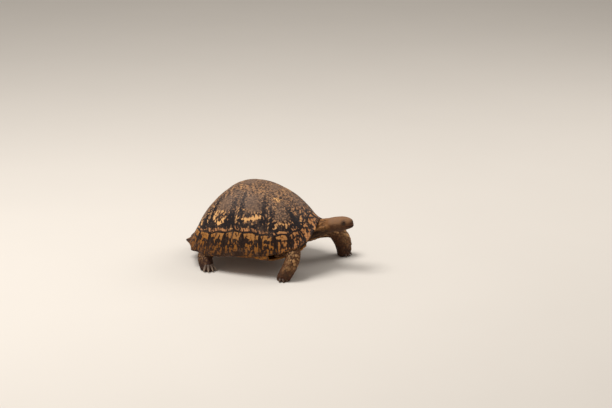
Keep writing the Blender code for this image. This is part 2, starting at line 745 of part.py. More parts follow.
NECK = [
    (0.060, 0.000, 0.088, 0.023, 0.023), (0.112, 0.000, 0.094, 0.0240, 0.0240),
    (0.160, 0.000, 0.106, 0.0225, 0.0230), (0.190, 0.001, 0.1175, 0.0210, 0.0215),
    (0.222, 0.004, 0.1285, 0.0182, 0.0190)]
TAIL = [
    (-0.090, 0.000, 0.072, 0.019, 0.017), (-0.120, 0.000, 0.067, 0.0165, 0.0140),
    (-0.145, 0.003, 0.058, 0.0120, 0.0105), (-0.160, 0.009, 0.046, 0.0075, 0.0070),
    (-0.168, 0.014, 0.036, 0.0025, 0.0025)]
# head sections: place along the head, half width, height above, depth below
HEAD = [
    (-0.0330, 0.0172, 0.0158, 0.0165), (-0.0240, 0.0200, 0.0176, 0.0176),
    (-0.0140, 0.0210, 0.0184, 0.0188), (-0.0040, 0.0201, 0.0187, 0.0186),
    (0.0060, 0.0184, 0.0183, 0.0178), (0.0150, 0.0158, 0.0164, 0.0158),
    (0.0225, 0.0124, 0.0136, 0.0142), (0.0280, 0.0088, 0.0104, 0.0122),
    (0.0308, 0.0054, 0.0070, 0.0096), (0.0318, 0.0026, 0.0036, 0.0066)]


def head_matrix():
    """Head frame: forward, left and up axes, turned and raised."""
    turn = Matrix.Rotation(HEAD_TURN, 4, "Z") @ Matrix.Rotation(-HEAD_PITCH, 4, "Y")
    return Matrix.Translation(HEAD_CENTRE) @ turn


def head_rings(around=16):
    """Superellipse sections of the head, higher above than below the jaw line."""
    rows = smooth_rows(HEAD, 13)
    turn = np.linspace(0, 2 * math.pi, around, endpoint=False)
    place = np.array(head_matrix())
    rings = []
    for along, wide, high, low in rows:
        c = np.cos(turn)
        s = np.sin(turn)
        across = wide * np.sign(c) * np.abs(c) ** 0.86
        up = np.where(s > 0, high, low) * np.sign(s) * np.abs(s) ** 0.86
        local = np.stack([np.full(around, along), across, up, np.ones(around)], -1)
        rings.append((local @ place.T)[:, :3])
    return rings


def head_box(name, x_range, y_half, z_range, group, tilt=0.0):
    """Box in the head frame, tipped about the cross axis at the mouth."""
    bm = bmesh.new()
    bmesh.ops.create_cube(bm, size=1.0)
    size = (x_range[1] - x_range[0], 2 * y_half, z_range[1] - z_range[0])
    centre = Vector(((x_range[0] + x_range[1]) / 2, 0, (z_range[0] + z_range[1]) / 2))
    pivot = Vector((x_range[0], 0.0, MOUTH_HEIGHT))
    swing = Matrix.Translation(pivot) @ Matrix.Rotation(tilt, 4, "Y")
    place = head_matrix() @ swing @ Matrix.Translation(centre - pivot)
    place = place @ Matrix.Diagonal((*size, 1.0))
    bmesh.ops.transform(bm, matrix=place, verts=bm.verts)
    return add_object(name, finish_mesh(name, bm), group)


def ball(name, centre, radius, group, segments, rings, surface=None):
    bm = bmesh.new()
    bmesh.ops.create_uvsphere(bm, u_segments=segments, v_segments=rings, radius=radius)
    bmesh.ops.translate(bm, verts=bm.verts, vec=centre)
    return add_object(name, finish_mesh(name, bm), group, surface)


def beak(name, z_range, group, tools):
    """Horn sheath of one jaw: the head's own form inside a box."""
    made = loft(name, head_rings(), group, "beak")
    region = head_box("cut_" + name, (BEAK_BACK, 0.04), 0.03, z_range, tools,
                      tilt=MOUTH_TILT)
    step = made.modifiers.new("region", "BOOLEAN")
    step.operation = "INTERSECT"
    step.object = region
    return settle(made)


def head(group, tools, cutters):
    """Head with sockets for the eyes and a notch for the two beak sheaths."""
    made = loft("head", head_rings(), group, "skin")
    place = head_matrix()
    for side, name in ((1, "eye_left"), (-1, "eye_right")):
        x, y, z = EYE_PLACE
        centre = place @ Vector((x, side * y, z))
        ball(name, centre, EYE_RADIUS, group, 12, 8, "eye")
        cut(made, ball("cut_" + name, centre, EYE_RADIUS + 2 * GAP, tools, 16, 10))
    upper = (MOUTH_HEIGHT + EDGE, MOUTH_HEIGHT + 0.0062)
    lower = (MOUTH_HEIGHT - 0.0078, MOUTH_HEIGHT - EDGE)
    beak("beak_upper", upper, group, tools)
    beak("beak_lower", lower, group, tools)
    notch = head_box("cut_beak", (BEAK_BACK - GAP, 0.042), 0.032,
                     (lower[0] - GAP, upper[1] + GAP), tools, tilt=MOUTH_TILT)
    cut(made, notch)
    for cutter in cutters:
        cut(made, cutter)
    return settle(made)


# -------------------------------------------------------------------- tortoise
def build_shell(group):
    for number in range(1, 6):
        scute("vertebral_%d" % number, vertebral_outline(number), group)
    for side, word in ((1, "left"), (-1, "right")):
        for number in range(1, 5):
            name = "costal_%s_%d" % (word, number)
            scute(name, costal_outline(number, side), group)
        for number in range(1, 12):
            name = "marginal_%s_%d" % (word, number)
            scute(name, marginal_outline(number, side), group, flat_rim=True)
        for plate, plan in plastron_plans().items():
            plastron_scute("%s_%s" % (plate, word), plan, side, group)
    scute("supracaudal", supracaudal_outline(), group, flat_rim=True)


def build_body(group, tools):
    trunk("trunk", 0.0, group, "skin")
    walls = [trunk("cut_trunk", GAP, tools), shell_cutter(tools), plastron_cutter(tools)]
    neck_rings = limb_rings(NECK, 9, 14, np.array([0.0, 0.0, 1.0]), False)
    neck = loft("neck", neck_rings, group, "skin")
    face = head_box("cut_neck", (-0.0250, 0.05), 0.05, (-0.05, 0.05), tools)
    behind = head_box("cut_head", (-0.10, -0.0250 + GAP), 0.05, (-0.05, 0.05), tools)
    cut(neck, face)
    for wall in walls:
        cut(neck, wall)
    settle(neck)
    head(group, tools, [behind])
    for name in LEGS:
        leg(name, group, walls, tools)
    tail = loft("tail", limb_rings(TAIL, 8, 12, np.array([0.0, 0.0, 1.0]), False),
                group, "skin")
    for wall in walls:
        cut(tail, wall)
    settle(tail)


def rest_on_floor(group):
    """Centre the whole model over the origin, standing on the floor."""
    corners = []
    for item in group.objects:
        corners += [item.matrix_world @ Vector(corner) for corner in item.bound_box]
    low = [min(corner[axis] for corner in corners) for axis in range(3)]
    high = [max(corner[axis] for corner in corners) for axis in range(3)]
    carrier = bpy.data.objects.new("leopard_tortoise_origin", None)
    group.objects.link(carrier)
    for item in group.objects:
        if item is not carrier:
            item.parent = carrier
    carrier.location = (-(low[0] + high[0]) / 2, -(low[1] + high[1]) / 2, -low[2])


def main():
    for item in list(bpy.data.objects):
        bpy.data.objects.remove(item, do_unlink=True)
    group = bpy.data.collections.new("leopard_tortoise")
    tools = bpy.data.collections.new("cutters")
    bpy.context.scene.collection.children.link(group)
    bpy.context.scene.collection.children.link(tools)
    build_shell(group)
    build_body(group, tools)
    for item in tools.objects:
        item.hide_render = True
        item.display_type = "WIRE"
    bpy.context.view_layer.update()
    rest_on_floor(group)


main()
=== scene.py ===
"""Leopard tortoise, life size, in mid stride.

The horn plates, the skin, the large leg scales, the claws, the beak and the
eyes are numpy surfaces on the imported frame; every material is procedural.
Lengths are metres.  Body frame: +X ahead, +Y left, +Z up.
"""
import math

import bmesh
import bpy
import numpy as np
from mathutils import Matrix, Vector


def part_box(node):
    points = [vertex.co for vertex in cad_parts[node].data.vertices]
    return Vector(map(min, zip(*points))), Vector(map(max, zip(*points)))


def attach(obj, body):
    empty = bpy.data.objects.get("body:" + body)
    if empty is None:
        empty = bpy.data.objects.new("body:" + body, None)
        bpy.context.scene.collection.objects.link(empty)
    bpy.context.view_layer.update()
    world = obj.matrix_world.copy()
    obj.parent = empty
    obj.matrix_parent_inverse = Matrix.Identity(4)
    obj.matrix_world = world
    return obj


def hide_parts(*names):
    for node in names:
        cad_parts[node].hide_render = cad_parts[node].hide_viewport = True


bl_info = {
    "name": "Leopard Tortoise",
    "version": (1, 0, 0),
    "blender": (4, 5, 0),
    "location": "View3D > Sidebar > Tortoise",
    "description": "Builds a life-size walking leopard tortoise on its frame",
    "category": "Object",
}

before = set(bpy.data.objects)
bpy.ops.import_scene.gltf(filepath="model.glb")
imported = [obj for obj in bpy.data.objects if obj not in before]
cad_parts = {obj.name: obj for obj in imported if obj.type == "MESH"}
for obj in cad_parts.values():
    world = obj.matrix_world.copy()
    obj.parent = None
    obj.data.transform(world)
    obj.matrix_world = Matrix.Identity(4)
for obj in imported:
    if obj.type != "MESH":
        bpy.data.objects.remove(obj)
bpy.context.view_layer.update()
TAU = 2 * math.pi

# ------------------------------------------------------- form of the frame
HALF_LENGTH_FRONT = 0.1872
HALF_LENGTH_REAR = 0.1854
SHELL_WIDTH = 0.2590
PLAN_POWER = 2.9
CROWN_HEIGHT = 0.2235
RIM_HEIGHT = 0.0550
RIM_SLOPE = 0.0120
RIM_FRONT_LIFT = 0.0480
RIM_REAR_LIFT = 0.0100
RIM_DIP = 0.0045
RIM_DIP_PLACE = 2.17
RIM_DIP_WIDTH = 0.35
LOBE_PLACE = 9.05
LOBE_SPACING = 1.6
NECK_ARCH = 0.0260
NECK_ARCH_WIDTH = 0.27
SIDE_ROUND = 2.4457
SIDE_FULLNESS = 1.9495
FRONT_FULLNESS = 1.2533
REAR_FULLNESS = 1.4757
FRONT_FLARE = 0.0205
REAR_FLARE = 0.0306
FLARE_REACH = 0.1218
RIM_START = 0.985
MARGINAL_TOP = 0.235
MARGINAL_TOP_SIDE = 0.020
MARGINAL_WAVE = 0.008
MARGINAL_WIDTHS = (42, 40, 40, 42, 44, 50, 52, 50, 47, 46, 43)
SUPRACAUDAL_HALF = 29
RING_SEGMENTS = 4
PLASTRON_BOTTOM = 0.0380
FOLD = 0.084
FOLD_ROUND = 0.0035
BRIDGE_HALF = 0.09
BRIDGE_INSET = 0.0070
BRIDGE_SLOPE = 0.375
BRIDGE_TURN = 0.0130
BRIDGE_TUCK = 0.0028
FRONT_FOLD = 0.095
FRONT_SLOPE = 0.30

HEAD_CENTRE = np.array([0.2445, 0.0065, 0.1328])
HEAD_TURN = math.radians(10.0)
HEAD_PITCH = math.radians(8.0)
EYE_RADIUS = 0.0050
EYE_PLACE = (0.0085, 0.0128, 0.0062)
NOSTRIL = (0.0308, 0.0034, 0.0046)
NOSE_TIP = (0.031, 0.0, 0.0046)
HEAD_ROUND = 0.86
HEAD_POWER = 2 / HEAD_ROUND
MOUTH_HEIGHT = -0.0042
MOUTH_TILT = math.radians(9.0)
BEAK_BACK = 0.0130
BEAK_START = 0.0040
BEAK_HALF_ANGLE = math.radians(62.0)

LEGS = {
    "leg_front_right": [
        (0.060, -0.032, 0.080, 0.020, 0.024), (0.112, -0.062, 0.079, 0.023, 0.027),
        (0.138, -0.085, 0.070, 0.0200, 0.0225), (0.144, -0.100, 0.052, 0.0175, 0.0195),
        (0.136, -0.109, 0.030, 0.0165, 0.0185), (0.126, -0.113, 0.010, 0.0165, 0.0178),
        (0.122, -0.114, 0.000, 0.0148, 0.0155)],
    "leg_front_left": [
        (0.060, 0.032, 0.074, 0.020, 0.024), (0.118, 0.056, 0.072, 0.023, 0.0265),
        (0.156, 0.077, 0.079, 0.0215, 0.0240), (0.192, 0.096, 0.074, 0.0210, 0.0235),
        (0.210, 0.109, 0.046, 0.0210, 0.0232), (0.214, 0.115, 0.014, 0.0190, 0.0195),
        (0.213, 0.116, 0.000, 0.0165, 0.0170)],
    "leg_rear_right": [
        (-0.055, -0.045, 0.078, 0.020, 0.024), (-0.086, -0.070, 0.070, 0.0205, 0.0250),
        (-0.099, -0.090, 0.051, 0.0185, 0.0240),
        (-0.103, -0.105, 0.030, 0.0180, 0.0205),
        (-0.094, -0.115, 0.010, 0.0175, 0.0185),
        (-0.089, -0.117, 0.000, 0.0160, 0.0165)],
    "leg_rear_left": [
        (-0.050, 0.044, 0.078, 0.020, 0.024), (-0.082, 0.070, 0.070, 0.0205, 0.0235),
        (-0.095, 0.090, 0.051, 0.0185, 0.0215), (-0.096, 0.105, 0.030, 0.0180, 0.0195),
        (-0.087, 0.114, 0.010, 0.0178, 0.0188), (-0.083, 0.116, 0.000, 0.0160, 0.0165)],
}
FEET = {
    "leg_front_right": (-32, 120, 5), "leg_front_left": (10, 120, 5),
    "leg_rear_right": (-50, 105, 4), "leg_rear_left": (30, 105, 4),
}
NECK = [
    (0.060, 0.000, 0.088, 0.023, 0.023), (0.112, 0.000, 0.094, 0.0240, 0.0240),
    (0.160, 0.000, 0.106, 0.0225, 0.0230), (0.190, 0.001, 0.1175, 0.0210, 0.0215),
    (0.222, 0.004, 0.1285, 0.0182, 0.0190)]
TAIL = [
    (-0.090, 0.000, 0.072, 0.019, 0.017), (-0.120, 0.000, 0.067, 0.0165, 0.0140),
    (-0.145, 0.003, 0.058, 0.0120, 0.0105), (-0.160, 0.009, 0.046, 0.0075, 0.0070),
    (-0.168, 0.014, 0.036, 0.0025, 0.0025)]
HEAD = [
    (-0.0330, 0.0172, 0.0158, 0.0165), (-0.0240, 0.0200, 0.0176, 0.0176),
    (-0.0140, 0.0210, 0.0184, 0.0188), (-0.0040, 0.0201, 0.0187, 0.0186),
    (0.0060, 0.0184, 0.0183, 0.0178), (0.0150, 0.0158, 0.0164, 0.0158),
    (0.0225, 0.0124, 0.0136, 0.0142), (0.0280, 0.0088, 0.0104, 0.0122),
    (0.0308, 0.0054, 0.0070, 0.0096), (0.0318, 0.0026, 0.0036, 0.0066)]
TRUNK_BODIES = (
    # centre and radii of each body that fills the trunk or a leg pocket
    ((0.092, 0.0, 0.094), (0.046, 0.098, 0.044)),
    ((-0.078, 0.0, 0.076), (0.058, 0.088, 0.032)),
    ((0.005, 0.0, 0.088), (0.110, 0.030, 0.028)),
    ((0.120, 0.0, 0.084), (0.032, 0.078, 0.032)),
    ((0.094, 0.0, 0.067), (0.034, 0.088, 0.022)),
    ((0.096, 0.0, 0.0550), (0.030, 0.090, 0.0125)),
    ((0.060, 0.0, 0.068), (0.040, 0.096, 0.024)),
    ((-0.072, 0.0, 0.066), (0.040, 0.094, 0.022)),
)
FORWARD = np.array([1.0, 0.0, 0.0])
UP = np.array([0.0, 0.0, 1.0])
RAW_ORIGIN = (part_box("marginal_left_1")[1].x - HALF_LENGTH_FRONT + 0.00015,
              (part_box("costal_left_2")[1].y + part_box("costal_right_2")[0].y) / 2)
HOME = np.array([RAW_ORIGIN[0], RAW_ORIGIN[1], 0.0])


# ------------------------------------------------------------------ numbers
def unit(v):
    return v / np.maximum(np.linalg.norm(v, axis=-1, keepdims=True), 1e-12)


def smoothstep(low, high, x):
    t = np.clip((x - low) / (high - low), 0, 1)
    return t * t * (3 - 2 * t)


def hashed(cell, seed):
    """Repeatable number from 0 to 1 for each whole-number cell."""
    mask = 0xFFFFFFFF
    h = (cell[..., 0] * 374761393 + cell[..., 1] * 668265263
         + cell[..., 2] * 2147483647 + seed * 1274126177) & mask
    h = ((h ^ (h >> 13)) * 1274126177) & mask
    h = ((h ^ (h >> 15)) * 2246822519) & mask
    return (h ^ (h >> 16)) / mask


def value_noise(points, size, seed):
    """Smooth lattice noise, about -1 to 1, with cells of a size: hashed corner
    values weighted by eased distance."""
    q = points / size
    base = np.floor(q).astype(np.int64)
    f = q - base
    f = f * f * (3 - 2 * f)
    total = 0.0
    for dx in (0, 1):
        for dy in (0, 1):
            for dz in (0, 1):
                weight = (np.abs(1 - dx - f[..., 0]) * np.abs(1 - dy - f[..., 1])
                          * np.abs(1 - dz - f[..., 2]))
                total = total + weight * hashed(base + (dx, dy, dz), seed)
    return 2 * total - 1


def fractal(points, size, seed, octaves=3):
    """Sum of lattice noises, each of half the size and strength of the last."""
    return sum(value_noise(points, size / 2 ** k, seed + k) / 2 ** k
               for k in range(octaves)) / 1.6


def shift_noise(points, size, seed):
    """Three noises as a vector, to bend a pattern with."""
    return np.stack([fractal(points, size, seed + k, 2) for k in range(3)], -1)


def cells(points, size, seed):
    """Pebbled cells: second minus first feature distance, and a cell's number."""
    q = points / size
    base = np.floor(q).astype(np.int64)
    first = np.full(q.shape[:-1], 9.0)
    second = first.copy()
    owner = np.zeros(q.shape[:-1])
    for dx in (-1, 0, 1):
        for dy in (-1, 0, 1):
            for dz in (-1, 0, 1):
                cell = base + (dx, dy, dz)
                spot = np.stack([hashed(cell, seed + k) for k in range(3)], -1)
                away = np.linalg.norm(cell + 0.15 + 0.7 * spot - q, axis=-1)
                nearer = away < first
                second = np.where(nearer, first, np.minimum(second, away))
                owner = np.where(nearer, hashed(cell, seed + 7), owner)
                first = np.where(nearer, away, first)
    return second - first, owner


def smooth_rows(rows, count):
    """Catmull-Rom interpolation of a short table of stations."""
    rows = np.asarray(rows, float)
    padded = np.vstack([2 * rows[0] - rows[1], rows, 2 * rows[-1] - rows[-2]])
    places = np.linspace(0, len(rows) - 1, count)
    k = np.minimum(places.astype(int), len(rows) - 2)
    u = (places - k)[:, None]
    p0, p1, p2, p3 = (padded[k + j] for j in range(4))
    return 0.5 * (2 * p1 + (p2 - p0) * u + (2 * p0 - 5 * p1 + 4 * p2 - p3) * u ** 2
                  + (3 * p1 - p0 - 3 * p2 + p3) * u ** 3)


def run_length(points):
    """Length along a path up to each of its points."""
    pieces = np.linalg.norm(np.diff(points, axis=0), axis=1)
    return np.concatenate([[0], np.cumsum(pieces)])


# ----------------------------------------------------------------- the dome
def plan_radius(phi):
    """Reach of the plan outline: a superellipse, longer ahead than behind."""
    c = np.cos(phi)
    a = np.where(c > 0, HALF_LENGTH_FRONT, HALF_LENGTH_REAR)
    n = PLAN_POWER
    return (np.abs(c / a) ** n + np.abs(np.sin(phi) / SHELL_WIDTH * 2) ** n) ** (-1 / n)


def rim_height(phi):
    """Height of the rim: a slope from front to rear, lifts at both ends, an arch
    over the neck and a dip over each hind leg."""
    c = np.cos(phi)
    turned = np.abs(np.arctan2(np.sin(phi), c))
    arch = NECK_ARCH * np.exp(-(turned / NECK_ARCH_WIDTH) ** 2)
    lift = (RIM_FRONT_LIFT * np.clip(c, 0, 1) ** 4
            + RIM_REAR_LIFT * np.clip(-c, 0, 1) ** 4)
    dip = RIM_DIP * np.exp(-((turned - RIM_DIP_PLACE) / RIM_DIP_WIDTH) ** 2)
    return RIM_HEIGHT + RIM_SLOPE * c + lift + arch - dip


def dome(phi, t):
    """Outer shell: heading phi, t from 0 at the rim to 1 on the crown.  Each
    section is a superellipse, with powers mixed by heading and a rim that flares
    out towards the front and the rear."""
    c, s = np.cos(phi), np.sin(phi)
    front, rear, side = np.clip(c, 0, 1) ** 2, np.clip(-c, 0, 1) ** 2, s ** 2
    rho = np.cos(t * math.pi / 2)
    power = SIDE_ROUND * side + 2 * (front + rear)
    full = SIDE_FULLNESS * side + FRONT_FULLNESS * front + REAR_FULLNESS * rear
    rise = np.clip(1 - rho ** power, 0, 1) ** (1 / full)
    flare = FRONT_FLARE * front + REAR_FLARE * rear ** 1.5
    radius = (plan_radius(phi) - flare) * rho + flare * np.exp(-t / FLARE_REACH)
    rim = rim_height(phi)
    return np.stack([radius * c, radius * s, rim + (CROWN_HEIGHT - rim) * rise], -1)


def disc_point(pq):
    """Dome point of a place on the unit disc: crown at the centre, rim at 1."""
    reach = np.hypot(pq[..., 0], pq[..., 1])
    return dome(np.arctan2(pq[..., 1], pq[..., 0]), 1 - reach)


def surface_normal(place, pq, step, flip=1.0):
    """Unit normal of a surface given as a function of two numbers."""
    du, dv = np.array([step, 0.0]), np.array([0.0, step])
    along = place(pq + du) - place(pq - du)
    across = place(pq + dv) - place(pq - dv)
    return flip * unit(np.cross(along, across))


def disc_normal(pq):
    """Dome normal, read just inside the rim for places on the rim itself."""
    reach = np.hypot(pq[..., 0], pq[..., 1])[..., None]
    inner = pq * np.minimum(1, RIM_START / np.maximum(reach, 1e-9))
    return surface_normal(disc_point, inner, 0.004)


def to_disc(phi, t):
    """Disc place of a heading and a height share of the dome."""
    return np.stack([(1 - t) * np.cos(phi), (1 - t) * np.sin(phi)], -1)


def plan_to_disc(x, y):
    """Disc place whose dome point has about the plan position x, y."""
    phi = math.atan2(y, x)
    levels = np.linspace(0, 1, 400)
    points = dome(np.full_like(levels, phi), levels)
    radii = np.hypot(points[:, 0], points[:, 1])
    return to_disc(phi, float(np.interp(-math.hypot(x, y), -radii, levels)))


def ring_headings():
    """Headings of the ring samples of one side, RING_SEGMENTS per marginal."""
    fine = np.linspace(0, math.pi, 721)
    run = run_length(dome(fine, np.zeros_like(fine)))
    widths = np.array(list(MARGINAL_WIDTHS) + [SUPRACAUDAL_HALF], float)
    marks = np.concatenate([[0], np.cumsum(widths)]) / widths.sum()
    samples = np.interp(np.arange(len(widths) * RING_SEGMENTS + 1) / RING_SEGMENTS,
                        np.arange(len(marks)), marks)
    return np.interp(samples * run[-1], run, fine)


RING = ring_headings()
LAST = len(RING) - 1


def ring_place(index, side):
    """Disc place of the seam above the marginals, index from the front."""
    phi = RING[index]
    wave = math.cos(TAU * index / RING_SEGMENTS)
    top = MARGINAL_TOP + MARGINAL_TOP_SIDE * math.sin(phi) ** 2 - MARGINAL_WAVE * wave
    return to_disc(side * phi, top)


def indices(first, last):
    """Whole numbers from first to last, up or down, with both ends."""
    step = 1 if last >= first else -1
    return range(first, last + step, step)


def ring_run(first, last, side):
    return [ring_place(i, side) for i in indices(first, last)]


def rim_run(first, last, side):
    return [to_disc(side * RING[i], 0.0) for i in indices(first, last)]


CORNERS = {"v1": RING_SEGMENTS + 2, "c12": 4 * RING_SEGMENTS + 2,
           "c23": 6 * RING_SEGMENTS + 2, "c34": 8 * RING_SEGMENTS + 2,
           "v5": 10 * RING_SEGMENTS + 2}
VERTEBRAL_PLAN = {"v12": (0.090, 0.033), "v2": (0.059, 0.047), "v23": (0.026, 0.035),
                  "v3": (-0.011, 0.050), "v34": (-0.046, 0.035), "v4": (-0.081, 0.045),
                  "v45": (-0.112, 0.028)}


def vertebral_outline(number):
    """Closed outline of a plate of the middle row."""
    left = {k: plan_to_disc(x, y) for k, (x, y) in VERTEBRAL_PLAN.items()}
    right = {k: plan_to_disc(x, -y) for k, (x, y) in VERTEBRAL_PLAN.items()}
    if number == 1:
        return (ring_run(CORNERS["v1"], 0, -1) + ring_run(1, CORNERS["v1"], 1)
                + [left["v12"], right["v12"]])
    if number == 5:
        return ([right["v45"], left["v45"]] + ring_run(CORNERS["v5"], LAST, 1)
                + ring_run(LAST - 1, CORNERS["v5"], -1))
    a, b, c = {2: ("v12", "v2", "v23"), 3: ("v23", "v3", "v34"),
               4: ("v34", "v4", "v45")}[number]
    return [right[a], left[a], left[b], left[c], right[c], right[b]]


def costal_outline(number, side):
    """Closed outline of a plate of the side row."""
    corner = {k: plan_to_disc(x, side * y) for k, (x, y) in VERTEBRAL_PLAN.items()}
    first, last = ("v1", "c12", "c23", "c34", "v5")[number - 1:number + 1]
    top = {1: ("v2", "v12"), 2: ("v3", "v23", "v2"), 3: ("v4", "v34", "v3"),
           4: ("v45", "v4")}[number]
    outline = ring_run(CORNERS[first], CORNERS[last], side) + [corner[k] for k in top]
    return outline[::side]


def marginal_outline(number, side):
    """Closed outline of a plate of the rim."""
    first, last = (number - 1) * RING_SEGMENTS, number * RING_SEGMENTS
    return (rim_run(first, last, side) + ring_run(last, first, side))[::side]


def supracaudal_outline():
    """Closed outline of the single plate over the tail."""
    first = 11 * RING_SEGMENTS
    return (rim_run(first, LAST, 1) + rim_run(LAST - 1, first, -1)
            + ring_run(first, LAST, -1) + ring_run(LAST - 1, first, 1))


HEARTS = {
    "vertebral": {1: (0.121, 0.0), 2: (0.056, 0.0), 3: (-0.012, 0.0),
                  4: (-0.081, 0.0), 5: (-0.135, 0.0)},
    "costal": {1: (0.103, 0.070), 2: (0.027, 0.076), 3: (-0.050, 0.074),
               4: (-0.117, 0.058)},
}


# -------------------------------------------------------------- belly plates
def belly_point(xy):
    """Lower face of the belly shell, with softened folds."""
    x, y = xy[..., 0], xy[..., 1]

    def ramp(v):
        return FOLD_ROUND * np.logaddexp(0, v / FOLD_ROUND)

    z = (PLASTRON_BOTTOM + BRIDGE_SLOPE * ramp(np.abs(y) - FOLD)
         + FRONT_SLOPE * ramp(x - FRONT_FOLD))
    rim = rim_height(np.arctan2(y, x)) - BRIDGE_TUCK
    edge = bridge_edge(np.clip(x, -BRIDGE_HALF, BRIDGE_HALF))
    share = smoothstep(edge - BRIDGE_TURN, edge, np.abs(y))
    return np.stack([x, y, z + np.maximum(rim - z, 0) * share], -1)


def belly_normal(xy):
    return surface_normal(belly_point, xy, 0.001, -1.0)


def bridge_edge(x):
    """Outer edge of the bridge, just inside the lip of the rim plates."""
    a = np.where(x > 0, HALF_LENGTH_FRONT, HALF_LENGTH_REAR)
    wide = SHELL_WIDTH / 2 * (1 - np.abs(x / a) ** PLAN_POWER) ** (1 / PLAN_POWER)
    return wide - BRIDGE_INSET


def belly_outlines():
    """Plan outlines of the six plates of the left half, and their hearts."""

    def edge(first, last, count):
        return [(x, bridge_edge(x)) for x in np.linspace(first, last, count)]

    return {
        "gular": ([(0.140, 0.0), (0.144, 0.012), (0.139, 0.026), (0.124, 0.040),
                   (0.117, 0.0)], (0.133, 0.016)),
        "humeral": ([(0.117, 0.0), (0.124, 0.040), (0.116, 0.056), (0.107, 0.066),
                     (0.0950, 0.070), (0.0950, 0.0)], (0.103, 0.052)),
        "pectoral": ([(0.0950, 0.0), (0.0950, 0.070), (0.088, 0.078)]
                     + edge(0.080, 0.048, 3) + [(0.044, FOLD), (0.056, 0.0)],
                     (0.068, 0.082)),
        "abdominal": ([(0.056, 0.0), (0.044, FOLD)] + edge(0.048, -0.074, 6)
                      + [(-0.080, 0.078), (-0.062, 0.0)], (-0.020, 0.074)),
        "femoral": ([(-0.062, 0.0), (-0.080, 0.078), (-0.098, 0.072),
                     (-0.122, 0.060), (-0.110, 0.0)], (-0.100, 0.050)),
        "anal": ([(-0.110, 0.0), (-0.122, 0.060), (-0.142, 0.048),
                  (-0.152, 0.030), (-0.143, 0.0)], (-0.135, 0.030)),
    }


# ------------------------------------------------------------- mesh helpers
def add_attributes(mesh, attributes):
    """Numbers or vectors, one for each point, for the materials to read."""
    for key, values in attributes.items():
        values = np.asarray(values, np.float32)
        kind, field = "FLOAT_VECTOR", "vector"
        if values.ndim == 1:
            kind, field = "FLOAT", "value"
        mesh.attributes.new(key, kind, "POINT").data.foreach_set(field, values.ravel())


def new_object(name, points, quads, tris, attributes):
    """Mesh object from arrays, in the row frame, shaded smooth."""
    mesh = bpy.data.meshes.new(name)
    corners = np.concatenate([quads.ravel(), tris.ravel()]).astype(np.int32)
    starts = np.concatenate([np.arange(len(quads)) * 4,
                             len(quads) * 4 + np.arange(len(tris)) * 3])
    mesh.vertices.add(len(points))
    mesh.vertices.foreach_set("co", np.asarray(points + HOME, np.float32).ravel())
    mesh.loops.add(len(corners))
    mesh.loops.foreach_set("vertex_index", corners)
    mesh.polygons.add(len(starts))
    mesh.polygons.foreach_set("loop_start", starts.astype(np.int32))
    mesh.update(calc_edges=True)
    mesh.validate()
    mesh.shade_smooth()
    add_attributes(mesh, attributes)
    made = bpy.data.objects.new(name, mesh)
    bpy.context.scene.collection.objects.link(made)
    return made


def band_quads(rows, around):
    """Quads that join closed rows of points, each row of the same length."""
    i, k = np.meshgrid(np.arange(rows - 1), np.arange(around), indexing="ij")
    a = i * around + k
    b = i * around + (k + 1) % around
    return np.stack([a, b, b + around, a + around], -1).reshape(-1, 4)


def end_fans(rows, around, first_centre):
    """Triangles that close a body of rows: its two end centres are the points
    first_centre and the one after it."""
    k = np.arange(around)
    after = (k + 1) % around
    last = (rows - 1) * around
    return np.vstack([
        np.stack([np.full(around, first_centre), after, k], -1),
        np.stack([np.full(around, first_centre + 1), last + k, last + after], -1)])


def capped(rows):
    """Closed body from rows of points, with a fan at each end."""
    count, around = rows.shape[:2]
    points = np.vstack([rows.reshape(-1, 3), rows[0].mean(0), rows[-1].mean(0)])
    return points, band_quads(count, around), end_fans(count, around, count * around)


def merge(parts):
    """Several (points, quads, tris) bodies as one."""
    clouds, quads, tris = zip(*parts)
    starts = np.cumsum([0] + [len(cloud) for cloud in clouds[:-1]])
    return (np.vstack(clouds), np.vstack([q + at for q, at in zip(quads, starts)]),
            np.vstack([f + at for f, at in zip(tris, starts)]))


def settle(piece, look, slot, *nodes):
    """The piece takes its material, rides on the root body and hides the frame
    nodes it stands in for."""
    piece.data.materials.append(look)
    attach(piece, "root")
    if nodes:
        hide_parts(*nodes)


# ------------------------------------------------------------------- plates
CROWN_ROW, SIDE_ROW, RIM_ROW, BELLY_ROW = range(4)
LOBES_START = 8.3
LOBES_END = 11.5
LOBES_FADE = 0.5
HEART_ROWS_END = 0.962
CLOSING_ROWS = np.array([0.030, 0.020, 0.013, 0.008, 0.0045, 0.002, 0.0006, 0.0])
UNDER_SHARE = 0.985
INMOST_SHARE = 0.55
FREE_EDGE_RADIUS = 0.0024
FREE_EDGE_EXTRA = 0.0022
LEAST_REACH = 0.004


def resample(outline, place, around):
    """Evenly spaced places along a closed outline, by length on the surface."""
    corners = np.asarray(outline, float)
    corners = np.vstack([corners, corners[:1]])
    fine = np.vstack([a + (b - a) * np.linspace(0, 1, 24, endpoint=False)[:, None]
                      for a, b in zip(corners[:-1], corners[1:])])
    shut = np.vstack([fine, fine[:1]])
    run = run_length(place(shut))
    spots = np.linspace(0, run[-1], around, endpoint=False)
    return np.stack([np.interp(spots, run, shut[:, k]) for k in range(2)], -1)


